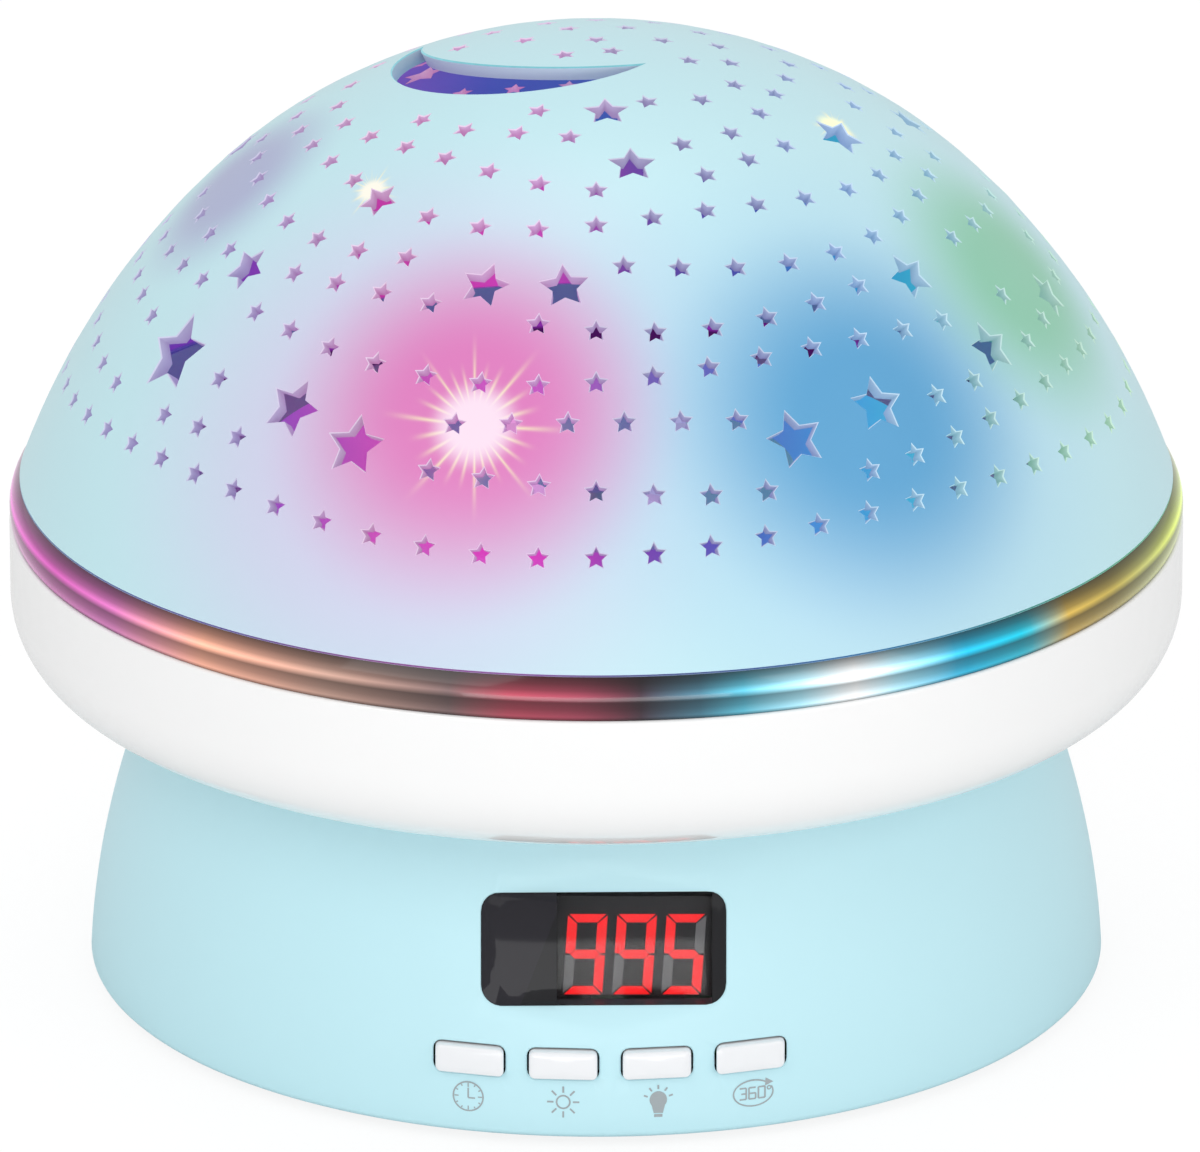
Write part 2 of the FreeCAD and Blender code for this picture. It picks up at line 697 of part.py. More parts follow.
def key(i):
    """Key cap that stands proud of the wall, with a stop flange behind it."""
    x = key_x(i)
    cap = rounded_bar(x, KEYS_Z, KEY_W, KEY_H, KEY_CORNER, FRONT, KEY_BACK_Y)
    cap = cap.common(base_block(-KEY_PROUD, 0, DECK_Z))
    reach = max(abs(x - KEY_W / 2 - KEY_FLANGE), abs(x + KEY_W / 2 + KEY_FLANGE))
    wall_r = base_r(KEYS_Z + KEY_H / 2 + KEY_FLANGE, BASE_WALL)
    flange_y = -sqrt(wall_r ** 2 - reach ** 2) + FIT_GAP
    flange = rounded_bar(x, KEYS_Z, KEY_W + 2 * KEY_FLANGE, KEY_H + 2 * KEY_FLANGE, KEY_CORNER,
                         flange_y, flange_y + KEY_FLANGE_T)
    return cap.fuse(flange).removeSplitter()


def control_board():
    """Upright board in the rails."""
    return block(-BOARD_W / 2, BOARD_W / 2, BOARD_Y, BOARD_Y + BOARD_T, BOARD_LOW_Z, BOARD_TOP_Z)


def key_switches():
    """Tact switches behind the keys, each with its plunger."""
    switches = []
    for i in range(len(KEY_NAMES)):
        x = key_x(i)
        body = block(x - SWITCH_W / 2, x + SWITCH_W / 2, SWITCH_FACE_Y, BOARD_Y,
                     KEYS_Z - SWITCH_W / 2, KEYS_Z + SWITCH_W / 2)
        plunger = Part.makeCylinder(PLUNGER_R, PLUNGER_D, V(x, SWITCH_FACE_Y, KEYS_Z), V(0, -1, 0))
        switches.append(body.fuse(plunger).removeSplitter())
    return Part.makeCompound(switches)


# Column and running parts

POST_SCREW_AT = POST_FLANGE_R - SCREW_HEAD_R


def post_screw_places():
    """Places in plan of the column's screws."""
    return [around(360 * i / POST_SCREWS, POST_SCREW_AT) for i in range(POST_SCREWS)]


POST_FLANGE_Z = WELL_FLOOR_Z + POST_FLANGE_T
CLIP_Z = HUB_TOP_Z + FIT_GAP
TRAY_Z = POST_TOP_Z


def center_post():
    """Hollow column with a foot flange and a groove for the retaining ring."""
    post = fused([
        tube(POST_FLANGE_R, 0, WELL_FLOOR_Z, POST_FLANGE_Z),
        tube(POST_R, 0, WELL_FLOOR_Z, POST_TOP_Z),
    ])
    groove = tube(POST_R + 1, POST_R - CLIP_GROOVE, CLIP_Z, CLIP_Z + CLIP_T)
    cuts = [groove, tube(POST_BORE_R, 0, WELL_FLOOR_Z, POST_TOP_Z)]
    for x, y in post_screw_places():
        cuts.append(tube(SCREW_R + SCREW_GAP, 0, WELL_FLOOR_Z - 1, POST_FLANGE_Z - 0.6, x, y))
    return post.cut(cuts)


def post_screws():
    """Screws up through the well's floor into the column's flange."""
    length = WELL_T + POST_FLANGE_T - 1.0
    screws = [screw(x, y, MOTOR_TOP_Z - SCREW_HEAD_H, length, True) for x, y in post_screw_places()]
    return Part.makeCompound(screws)


def thrust_washer():
    """Washer that the hub runs on."""
    return tube(POST_FLANGE_R, POST_R + RUN_GAP, POST_FLANGE_Z, HUB_LOW_Z - RUN_GAP)


def bearing_bush():
    """Plain bush between the column and the hub."""
    return tube(POST_R + RUN_GAP + BUSH_WALL, POST_R + RUN_GAP, HUB_LOW_Z, HUB_TOP_Z)


def retaining_ring():
    """Open ring in the column's groove, over the hub."""
    inner = POST_R - CLIP_GROOVE + RUN_GAP
    outer = inner + CLIP_WIDTH
    ring = tube(outer, inner, CLIP_Z + FIT_GAP / 2, CLIP_Z + CLIP_T - FIT_GAP / 2)
    reach = 2 * outer
    half = radians(CLIP_GAP_ANGLE / 2)
    corners = [ORIGIN, V(reach * cos(half), -reach * sin(half), 0), V(reach * cos(half), reach * sin(half), 0), ORIGIN]
    gap = Part.Face(Part.makePolygon(corners)).extrude(UP * (CLIP_Z + 2 * CLIP_T))
    return ring.cut(gap)


# Lamp

def lamp_places():
    """Places in plan of the lamps: one in the middle and a ring round it."""
    return [(0.0, 0.0)] + [around(360 * (i + 0.5) / LAMP_COUNT, LAMP_RING_R) for i in range(LAMP_COUNT)]


LAMP_BOARD_Z = TRAY_Z + TRAY_T + LAMP_STANDOFF
LAMP_SCREW_AT = POST_R + SCREW_HEAD_R


def lamp_screw_places():
    """Places in plan of the lamp board's screws."""
    return [around(360 * i / LAMP_SCREWS, LAMP_SCREW_AT) for i in range(LAMP_SCREWS)]


def lamp_tray():
    """White dished reflector on the column, with standoffs for the board."""
    tray = turned((
        (POST_R + RUN_GAP, TRAY_Z - 2 * TRAY_T),
        (LAMP_SCREW_AT + SCREW_HEAD_R, TRAY_Z - 2 * TRAY_T),
        (LAMP_SCREW_AT + SCREW_HEAD_R, TRAY_Z),
        (LAMP_BOARD_R, TRAY_Z),
        (TRAY_R, TRAY_Z + TRAY_RISE),
        (TRAY_R, TRAY_Z + TRAY_RISE + TRAY_T),
        (LAMP_BOARD_R, TRAY_Z + TRAY_T),
        (POST_BORE_R, TRAY_Z + TRAY_T),
        (POST_BORE_R, TRAY_Z),
        (POST_R + RUN_GAP, TRAY_Z),
    ))
    cuts = []
    solids = [tray]
    for x, y in lamp_screw_places():
        solids.append(tube(SCREW_HEAD_R, 0, TRAY_Z, LAMP_BOARD_Z, x, y))
        cuts.append(tube(SCREW_R + SCREW_GAP, 0, TRAY_Z - 3 * TRAY_T, LAMP_BOARD_Z, x, y))
    return fused(solids).cut(cuts)


def lamp_board():
    """Round board that carries the lamps."""
    top = LAMP_BOARD_Z + LAMP_BOARD_T
    holes = [tube(SCREW_R + SCREW_GAP, 0, LAMP_BOARD_Z, top, x, y) for x, y in lamp_screw_places()]
    return tube(LAMP_BOARD_R, 0, LAMP_BOARD_Z, top).cut(holes)


def lamp_leds():
    """Square lamps, each with a low round lens on its body."""
    low = LAMP_BOARD_Z + LAMP_BOARD_T
    half = LAMP_W / 2
    lamps = []
    for x, y in lamp_places():
        body = block(x - half, x + half, y - half, y + half, low, low + LAMP_H)
        lens = tube(LAMP_LENS_R, 0, low + LAMP_H, low + LAMP_H + LAMP_LENS_H, x, y)
        lamps.append(body.fuse(lens).removeSplitter())
    return Part.makeCompound(lamps)


def lamp_screws():
    """Screws down through the lamp board into the tray."""
    head_z = LAMP_BOARD_Z + LAMP_BOARD_T + SCREW_HEAD_H
    length = LAMP_BOARD_T + LAMP_STANDOFF + TRAY_T
    return Part.makeCompound([screw(x, y, head_z, length, False) for x, y in lamp_screw_places()])


# Underside

DOOR_Y_BACK = BAY_Y + BAY_L / 2
DOOR_Y_FRONT = BAY_Y - BAY_L / 2
HINGE_Y = DOOR_Y_BACK - HINGE_R - DOOR_GAP
HINGE_Z = COVER_Z + HINGE_R + FIT_GAP


def bottom_cover():
    """Cover plate with the battery bay moulded in, foot recesses and screw holes."""
    plate = base_block(BASE_WALL + COVER_GAP, COVER_Z, COVER_TOP_Z, 1)
    half_w = BAY_W / 2
    half_l = BAY_L / 2
    wall = BAY_WALL
    bay = block(-half_w - wall, half_w + wall, BAY_Y - half_l - wall, BAY_Y + half_l + wall,
                COVER_TOP_Z - COVER_T / 2, BAY_TOP_Z + wall)
    cover = fused([plate, bay])
    cuts = [block(-half_w, half_w, BAY_Y - half_l, BAY_Y + half_l, COVER_Z - 1, BAY_TOP_Z)]
    pin_reach = half_w - DOOR_GAP + HINGE_PIN_LEN + FIT_GAP
    cuts.append(Part.makeCylinder(HINGE_PIN_R + RUN_GAP, 2 * pin_reach, V(-pin_reach, HINGE_Y, HINGE_Z), V(1, 0, 0)))
    for i in range(4):
        x, y = around(45 + 90 * i, FOOT_AT)
        cuts.append(tube(FOOT_R + FIT_GAP, 0, COVER_Z - 1, COVER_Z + FOOT_SINK, x, y))
    for azimuth in COVER_SCREW_AZ:
        x, y = around(azimuth, COVER_SCREW_AT)
        cuts.append(tube(SCREW_HEAD_R + FIT_GAP, 0, COVER_Z - 1, COVER_TOP_Z - SCREW_HEAD_H / 2, x, y))
        cuts.append(tube(SCREW_R + SCREW_GAP, 0, COVER_Z - 1, COVER_TOP_Z + 1, x, y))
    return cover.cut(cuts)


def battery_door():
    """Door that fills the bay's mouth, with hinge knuckles at the back and a finger notch at the front."""
    half_w = BAY_W / 2 - DOOR_GAP
    plate = block(-half_w, half_w, DOOR_Y_FRONT + DOOR_GAP, HINGE_Y, COVER_Z, COVER_Z + DOOR_T)
    barrel = Part.makeCylinder(HINGE_R, 2 * half_w, V(-half_w, HINGE_Y, HINGE_Z), V(1, 0, 0))
    pin_reach = half_w + HINGE_PIN_LEN
    pin = Part.makeCylinder(HINGE_PIN_R, 2 * pin_reach, V(-pin_reach, HINGE_Y, HINGE_Z), V(1, 0, 0))
    latch = block(-LATCH_W / 2, LATCH_W / 2, DOOR_Y_FRONT + DOOR_GAP, DOOR_Y_FRONT + DOOR_GAP + DOOR_T,
                  COVER_Z, COVER_Z + 2 * DOOR_T)
    notch = block(-LATCH_W / 2, LATCH_W / 2, DOOR_Y_FRONT, DOOR_Y_FRONT + DOOR_T / 2, COVER_Z - 1,
                  COVER_Z + DOOR_T / 2)
    return fused([plate, barrel, pin, latch]).cut(notch)


def battery_contacts():
    """Stamped leaf contacts at both ends of each cell's place."""
    leaves = []
    for i in range(CELLS):
        x = (i - (CELLS - 1) / 2) * CELL_PITCH
        for end in (-1, 1):
            face = BAY_Y + end * (BAY_L / 2)
            low, high = sorted((face, face - end * CONTACT_T))
            leaves.append(block(x - CONTACT_W / 2, x + CONTACT_W / 2, low, high,
                                COVER_TOP_Z + 2 * DOOR_T, BAY_TOP_Z - 1))
    return Part.makeCompound(leaves)


def cover_screws():
    """Screws of the bottom cover."""
    head_z = COVER_TOP_Z - SCREW_HEAD_H / 2 - SCREW_HEAD_H
    screws = []
    for azimuth in COVER_SCREW_AZ:
        x, y = around(azimuth, COVER_SCREW_AT)
        screws.append(screw(x, y, head_z, SCREW_LEN, True))
    return Part.makeCompound(screws)


def rubber_feet():
    """Four feet in their recesses."""
    feet = []
    for i in range(4):
        x, y = around(45 + 90 * i, FOOT_AT)
        feet.append(tube(FOOT_R, 0, 0, COVER_Z + FOOT_SINK, x, y))
    return Part.makeCompound(feet)


def power_jack():
    """Round socket with its middle pin, behind the back wall."""
    half = JACK_BODY_W / 2
    wall_r = base_r(JACK_Z + half, BASE_WALL)
    face = sqrt(wall_r ** 2 - half ** 2) - FIT_GAP
    body = block(-half, half, face - JACK_BODY_L, face, JACK_Z - half + 0.6, JACK_Z + half)
    bore = Part.makeCylinder(JACK_R - FIT_GAP, JACK_BODY_L - 2, V(0, face - JACK_BODY_L + 2, JACK_Z), V(0, 1, 0))
    pin = Part.makeCylinder(JACK_PIN_R, JACK_PIN_LEN, V(0, face - JACK_BODY_L + 1, JACK_Z), V(0, 1, 0))
    return body.cut(bore).fuse(pin).removeSplitter()


NODES = {
    "star_dome": star_dome,
    "light_ring": light_ring,
    "head_bowl": head_bowl,
    "ring_gear": ring_gear,
    "ring_gear_screws": ring_gear_screws,
    "drive_pinion": drive_pinion,
    "gear_motor": gear_motor,
    "motor_screws": motor_screws,
    "base_shell": base_shell,
    "display_window": display_window,
    "display_digits": display_digits,
    "control_board": control_board,
    "key_switches": key_switches,
    "center_post": center_post,
    "post_screws": post_screws,
    "thrust_washer": thrust_washer,
    "bearing_bush": bearing_bush,
    "retaining_ring": retaining_ring,
    "lamp_tray": lamp_tray,
    "lamp_board": lamp_board,
    "lamp_leds": lamp_leds,
    "lamp_screws": lamp_screws,
    "bottom_cover": bottom_cover,
    "battery_door": battery_door,
    "battery_contacts": battery_contacts,
    "cover_screws": cover_screws,
    "rubber_feet": rubber_feet,
    "power_jack": power_jack,
}

os.makedirs("parts", exist_ok=True)
for name, make in NODES.items():
    make().exportStep("parts/" + name + ".step")
for i, name in enumerate(KEY_NAMES):
    key(i).exportStep("parts/button_" + name + ".step")
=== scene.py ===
import bmesh
import bpy
import math
from mathutils import Euler, Matrix, Vector
from mathutils.geometry import delaunay_2d_cdt


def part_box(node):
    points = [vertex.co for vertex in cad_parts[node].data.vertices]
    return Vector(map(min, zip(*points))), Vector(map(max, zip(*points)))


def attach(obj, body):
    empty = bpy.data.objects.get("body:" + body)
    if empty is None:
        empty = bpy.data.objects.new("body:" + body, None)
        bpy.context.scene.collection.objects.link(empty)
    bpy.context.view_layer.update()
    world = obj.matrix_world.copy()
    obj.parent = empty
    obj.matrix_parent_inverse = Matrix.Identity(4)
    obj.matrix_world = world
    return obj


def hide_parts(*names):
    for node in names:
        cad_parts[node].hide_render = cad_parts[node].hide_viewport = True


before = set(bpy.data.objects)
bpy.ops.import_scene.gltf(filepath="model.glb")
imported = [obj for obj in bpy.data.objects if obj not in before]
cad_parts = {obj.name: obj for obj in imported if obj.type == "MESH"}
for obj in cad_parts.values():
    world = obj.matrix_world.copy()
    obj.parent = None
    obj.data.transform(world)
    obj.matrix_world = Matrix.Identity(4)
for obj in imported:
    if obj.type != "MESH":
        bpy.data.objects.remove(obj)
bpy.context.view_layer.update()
MM = 0.001


# Base housing: one flared injection moulding in light blue satin plastic, with a recess for the
# window, four key slots, a socket hole at the back and a deep well in its deck for the drive.
BASE_BLUE = (0.505, 0.775, 0.842)
BASE_R = 56.6
BASE_RIM_Z = 1.0
BASE_LEAN = 1.6
BASE_CURVE = 6.3
BASE_WALL = 2.2
BASE_EDGE = 0.8
DECK_Z = 34.1
DECK_T = 2.0
WELL_R = 29.6
WELL_FLOOR_Z = 27.2
WELL_T = 1.8
COLUMN_BORE_R = 4.2
TURN_STEPS = 180
HOLE_BEVEL = 0.12
EDGE_STEPS = 5
SHARP_ANGLE = 35
WELD_REACH = 0.002


def base_r(z, inset=0.0):
    share = (z - BASE_RIM_Z) / (DECK_Z - BASE_RIM_Z)
    return BASE_R - BASE_LEAN * share - BASE_CURVE * share ** 2 - inset


def base_spot(x, z, proud=0.0, side=1):
    """Point on the front of the wall (side 1) or its back (side -1), in millimetres."""
    r = base_r(z) + proud
    return Vector((x, -side * math.sqrt(r * r - x * x), z))


def bow(r, z, radius, start, end, count):
    """Points of an arc; the angles count from the outward direction or the right, up is positive."""
    turns = [math.radians(start + (end - start) * i / count) for i in range(count + 1)]
    return [(r + radius * math.cos(t), z + radius * math.sin(t)) for t in turns]


def mesh_piece(name, verts, faces, materials, face_slots=None):
    """Object from millimetre points, smooth with its sharp corners kept."""
    mesh = bpy.data.meshes.new(name)
    mesh.from_pydata([tuple(c * MM for c in v) for v in verts], [], faces)
    for material in materials:
        mesh.materials.append(material)
    if face_slots:
        mesh.polygons.foreach_set("material_index", face_slots)
    mesh.validate()
    mesh.polygons.foreach_set("use_smooth", [True] * len(mesh.polygons))
    mesh.set_sharp_from_angle(angle=math.radians(SHARP_ANGLE))
    mesh.update()
    piece = bpy.data.objects.new(name, mesh)
    bpy.context.scene.collection.objects.link(piece)
    return piece


def turned_mesh(section, closed=True, steps=TURN_STEPS, flip=False):
    """Points and faces of a section of (radius, height) turned about Z; flip turns them inside out."""
    verts, faces = [], []
    for i in range(steps):
        a = 2 * math.pi * i / steps
        verts += [(r * math.sin(a), -r * math.cos(a), z) for r, z in section]
    n = len(section)
    for i in range(steps):
        here, there = i * n, ((i + 1) % steps) * n
        for j in range(n if closed else n - 1):
            k = (j + 1) % n
            face = (here + j, there + j, there + k, here + k)
            faces.append(tuple(reversed(face)) if flip else face)
    return verts, faces


def joined(parts):
    """One set of points, faces and slots from several."""
    verts, faces, slots = [], [], []
    for more_verts, more_faces, slot in parts:
        base = len(verts)
        verts += more_verts
        faces += [tuple(base + i for i in face) for face in more_faces]
        slots += [slot] * len(more_faces) if isinstance(slot, int) else slot
    return verts, faces, slots


def welded(piece):
    """Merges doubled points and marks the sharp edges again."""
    bm = bmesh.new()
    bm.from_mesh(piece.data)
    bmesh.ops.remove_doubles(bm, verts=bm.verts, dist=WELD_REACH * MM)
    bm.to_mesh(piece.data)
    bm.free()
    piece.data.set_sharp_from_angle(angle=math.radians(SHARP_ANGLE))
    return piece


def feed(tree, node, inputs):
    """Sets a node's inputs; one given as a socket is linked."""
    for name, value in inputs.items():
        if isinstance(value, bpy.types.NodeSocket):
            tree.links.new(value, node.inputs[name])
        else:
            node.inputs[name].default_value = value
    return node


def add(tree, kind, inputs=None, **settings):
    """New node with its settings and inputs."""
    node = tree.nodes.new(kind)
    for name, value in settings.items():
        setattr(node, name, value)
    return feed(tree, node, inputs or {})


def calc(tree, operation, *values):
    """Result of one step of arithmetic on sockets or numbers."""
    return add(tree, "ShaderNodeMath", dict(enumerate(values)), operation=operation).outputs["Value"]


def measure(tree, operation, *vectors, result="Value"):
    """Result of one step on vectors, a number unless another result is named."""
    node = add(tree, "ShaderNodeVectorMath", dict(enumerate(vectors)), operation=operation)
    return node.outputs[result]


def axes(tree, place):
    return add(tree, "ShaderNodeSeparateXYZ", {"Vector": place}).outputs


def noise(tree, place, scale, detail=2.0):
    return add(tree, "ShaderNodeTexNoise", {"Vector": place, "Scale": scale, "Detail": detail}).outputs["Fac"]


def spread(tree, value, low, high, start=0.0, end=1.0, **settings):
    """A value that runs from start to end, turned into one that runs from low to high."""
    inputs = {"Value": value, "From Min": start, "From Max": end, "To Min": low, "To Max": high}
    return add(tree, "ShaderNodeMapRange", inputs, **settings).outputs["Result"]


def mix(tree, factor, under, over, **settings):
    """Colour mixed from two, each a colour or a socket."""
    inputs = {"Factor": factor}
    for name, colour in (("A", under), ("B", over)):
        inputs[name] = colour if isinstance(colour, bpy.types.NodeSocket) else (*colour, 1)
    return add(tree, "ShaderNodeMix", inputs, data_type="RGBA", **settings).outputs["Result"]


def new_material(name):
    """Material, its tree, its shader and the place on the object."""
    material = bpy.data.materials.new(name)
    material.use_nodes = True
    tree = material.node_tree
    return material, tree, tree.nodes["Principled BSDF"], add(tree, "ShaderNodeTexCoord").outputs["Object"]


CLOUD_SCALE = 45.0
TOOL_SCALE = 1800.0
SHEEN_RANGE = 0.04
LEAST_ROUGH = 0.02


def moulded(name, colour, roughness, mottle=0.03, coat=0.0, bump_mm=0.004):
    """Moulded plastic: faint cloudy colour, uneven sheen and a fine tool texture."""
    material, tree, shader, place = new_material(name)
    cloud = noise(tree, place, CLOUD_SCALE, 3.0)
    tint = mix(tree, cloud, [c * (1 - mottle) for c in colour], [min(1, c * (1 + mottle)) for c in colour])
    texture = {"Strength": 0.35, "Distance": bump_mm * MM, "Height": noise(tree, place, TOOL_SCALE)}
    feed(tree, shader, {
        "Base Color": tint,
        "Roughness": spread(tree, cloud, max(LEAST_ROUGH, roughness - SHEEN_RANGE), roughness + SHEEN_RANGE),
        "Normal": add(tree, "ShaderNodeBump", texture).outputs["Normal"],
        "Coat Weight": coat, "Coat Roughness": 0.08,
    })
    return material


def pierced_sheet(grid, border, holes, place):
    """Triangles over a flat map with holes left open; place turns a map point into millimetres."""
    points = [Vector(p) for p in border]
    edges = [(i, (i + 1) % len(border)) for i in range(len(border))]
    loops = []
    for hole in holes:
        start = len(points)
        points += [Vector(p) for p in hole]
        loops.append(list(range(start, start + len(hole))))
    points += [Vector(p) for p in grid]
    verts, _, faces, kept, _, origin = delaunay_2d_cdt(points, edges, loops, 0, 1e-7, True)
    number = {}
    for i, sources in enumerate(kept):
        for source in sources:
            number[source] = i
    solid = [tuple(face) for face, inside in zip(faces, origin) if not inside]
    loop_verts = [[number[i] for i in loop] for loop in loops]
    return [place(v.x, v.y) for v in verts], solid, loop_verts


def rounded_rectangle(x, z, width, height, corner, per_corner=5, grow=0.0):
    """Outline of a rounded rectangle, anticlockwise seen from the front."""
    outline = []
    corner += grow
    for cx, cz, start in ((1, 1, 0), (-1, 1, 90), (-1, -1, 180), (1, -1, 270)):
        outline += bow(x + cx * (width / 2 + grow - corner), z + cz * (height / 2 + grow - corner),
                       corner, start, start + 90, per_corner)
    return outline


WINDOW_X = 0.8
WINDOW_Z = 21.3
WINDOW_W = 26.5
WINDOW_H = 11.8
WINDOW_CORNER = 2.0
WINDOW_T = 1.2
WINDOW_BOX = (WINDOW_X, WINDOW_Z, WINDOW_W, WINDOW_H, WINDOW_CORNER)
WINDOW_GAP = 0.14
KEYS_X = 1.5
KEYS_Z = 9.4
KEY_PITCH = 10.15
KEY_W = 7.4
KEY_H = 3.0
KEY_CORNER = 0.6
KEY_BOX = (KEYS_Z, KEY_W, KEY_H, KEY_CORNER)
KEY_GAP = 0.34
KEY_NAMES = ("timer", "brightness", "lamp", "rotation")
JACK_Z = 9.5
JACK_R = 3.2
JACK_CORNERS = 32
WALL_ROWS = 16
CUT_CLEAR = 0.5
base_plastic = moulded("base_blue_satin", BASE_BLUE, 0.42, mottle=0.012)


def key_x(i):
    return KEYS_X + (i - 1.5) * KEY_PITCH


def wall_sheet(low, high, inset, cuts):
    """Side wall between two heights with the cuts left open; its map is the wall unrolled from
    the left side, and a cut is an outline with its side, 1 for the front and -1 for the back."""
    whole = 2 * math.pi * BASE_R
    left = -whole / 4
    rows = WALL_ROWS

    def on_wall(u, v):
        a, r = u / BASE_R, base_r(v, inset)
        return Vector((r * math.sin(a), -r * math.cos(a), v))

    border = [(left + whole * i / TURN_STEPS, low) for i in range(TURN_STEPS)]
    border += [(left + whole, low + (high - low) * j / rows) for j in range(rows)]
    border += [(left + whole - whole * i / TURN_STEPS, high) for i in range(TURN_STEPS)]
    border += [(left, high - (high - low) * j / rows) for j in range(rows)]
    holes = []
    for cut, side in cuts:
        turns = [(math.asin(x / base_r(z, inset)), z) for x, z in cut]
        holes.append([((turn if side > 0 else math.pi - turn) * BASE_R, z) for turn, z in turns])
    grid = []
    for i in range(1, TURN_STEPS):
        for j in range(1, rows):
            u, v = left + whole * i / TURN_STEPS, low + (high - low) * j / rows
            x, y, z = on_wall(u, v)
            if not any(y * side < 0 and near_box(x, z, cut, CUT_CLEAR) for cut, side in cuts):
                grid.append((u, v))
    return pierced_sheet(grid, border, holes, on_wall)


def base_mesh():
    """Housing: pierced outer and inner walls, the walls of the cut-outs, and the turned rest."""
    low, high = BASE_RIM_Z + BASE_EDGE, DECK_Z - BASE_EDGE
    under = DECK_Z - DECK_T
    cuts = [(rounded_rectangle(*WINDOW_BOX, grow=WINDOW_GAP), 1)]
    cuts += [(rounded_rectangle(key_x(i), *KEY_BOX, 4, KEY_GAP), 1) for i in range(len(KEY_NAMES))]
    turns = [2 * math.pi * i / JACK_CORNERS for i in range(JACK_CORNERS)]
    cuts.append(([(-JACK_R * math.cos(t), JACK_Z + JACK_R * math.sin(t)) for t in turns], -1))
    verts, faces, loops = wall_sheet(low, high, 0.0, cuts)
    back_verts, back_faces, back_loops = wall_sheet(BASE_RIM_Z, under, BASE_WALL, cuts)
    start = len(verts)
    verts += back_verts
    slots = [0] * (len(faces) + len(back_faces))
    faces += [tuple(start + i for i in reversed(face)) for face in back_faces]
    for loop, back_loop, (cut, side) in zip(loops, back_loops, cuts):
        ledge = len(verts)
        n = len(loop)
        middle_x = sum(x for x, z in cut) / n
        middle_z = sum(z for x, z in cut) / n
        for x, z in cut:
            px = x - math.copysign(HOLE_BEVEL, x - middle_x)
            pz = z - math.copysign(HOLE_BEVEL, z - middle_z)
            verts.append(base_spot(px, pz, 0.0, side) + Vector((0, side * HOLE_BEVEL, 0)))
        rings = [loop, list(range(ledge, ledge + n)), [start + i for i in back_loop]]
        for slot, (a, b) in enumerate(zip(rings, rings[1:])):
            for i in range(n):
                k = (i + 1) % n
                faces.append((a[i], a[k], b[k], b[i]))
                slots.append(slot)
    rest = bow(base_r(low) - BASE_EDGE, low, BASE_EDGE, 0, -90, EDGE_STEPS)
    rest.append((base_r(BASE_RIM_Z, BASE_WALL), BASE_RIM_Z))
    well_low = WELL_FLOOR_Z - WELL_T
    top = [(base_r(under, BASE_WALL), under), (WELL_R + WELL_T, under), (WELL_R + WELL_T, well_low)]
    top += [(COLUMN_BORE_R, well_low), (COLUMN_BORE_R, WELL_FLOOR_Z), (WELL_R, WELL_FLOOR_Z)]
    top.append((WELL_R, DECK_Z))
    top += bow(base_r(high) - BASE_EDGE, high, BASE_EDGE, 90, 0, EDGE_STEPS)
    parts = [(verts, faces, slots)]
    for section in (rest, top):
        parts.append((*turned_mesh(section, closed=False, flip=True), 0))
    return joined(parts)


def near_box(x, z, outline, margin):
    """True where a point is in an outline's box or near it."""
    xs = [p[0] for p in outline]
    zs = [p[1] for p in outline]
    return min(xs) - margin < x < max(xs) + margin and min(zs) - margin < z < max(zs) + margin


verts, faces, slots = base_mesh()
# The walls of the window recess, the key slots and the socket hole get a near-black blue as painted shade.
slot_wall_painted_shade = moulded("slot_wall_painted_shade", (0.035, 0.06, 0.075), 0.6)
base = welded(mesh_piece("base_housing", verts, faces, [base_plastic, slot_wall_painted_shade], slots))
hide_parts("base_shell")
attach(base, "base")


# Display: a smoked acrylic window that lies flush in its recess, with a printed black border, and
# behind it a potted module with three slanted seven-segment figures that glow red.
DIGIT_H = 9.4
DIGIT_W = 4.3
DIGIT_PITCH = 5.35
DIGITS_MIDDLE_X = 4.15
DIGITS_MIDDLE_Z = 18.75
DIGIT_SLANT = 0.065
STROKE = 1.05
STROKE_GAP = 0.16
MODULE_FACE_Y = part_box("display_digits")[0][1] / MM
SHOWN = ("abcdfg", "abcdfg", "acdfg")
# Slant and place of the edge of the painted reflection on the window.
PAINTED_REFLECTION_ACROSS = (0.93, 0.0, -0.37)
PAINTED_REFLECTION_EDGE = -13.4
CLEAR_HALF_W = 8.4
CLEAR_HALF_H = 7.0
CLEAR_LIFT = 1.6
SEGMENT_LIFT = 0.06
WINDOW_GRID = (26, 10)
WINDOW_GRID_CLEAR = 2.2


def smoked_glass():
    """Glossy black acrylic, clear before the figures, with a painted reflection: a lighter tone across its
    left end.
    """
    material, tree, shader, place = new_material("window_smoked_painted_reflection")
    split = axes(tree, place)
    clear = calc(tree, "MULTIPLY",
                 calc(tree, "COMPARE", split["X"], DIGITS_MIDDLE_X * MM, CLEAR_HALF_W * MM),
                 calc(tree, "COMPARE", split["Z"], (DIGITS_MIDDLE_Z + CLEAR_LIFT) * MM, CLEAR_HALF_H * MM))
    # Painted reflection: left of a slanted edge the black is a little lighter.
    side = calc(tree, "LESS_THAN", measure(tree, "DOT_PRODUCT", place, PAINTED_REFLECTION_ACROSS), PAINTED_REFLECTION_EDGE * MM)
    tone_with_painted_reflection = mix(tree, side, (0.019, 0.019, 0.021), (0.024, 0.023, 0.028))
    feed(tree, shader, {
        "Base Color": mix(tree, clear, tone_with_painted_reflection, (0.78, 0.78, 0.80)), "Transmission Weight": clear, "IOR": 1.0,
        "Roughness": spread(tree, noise(tree, place, 300.0), 0.03, 0.07),
        "Coat Weight": 0.22, "Coat Roughness": 0.05,
    })
    return material


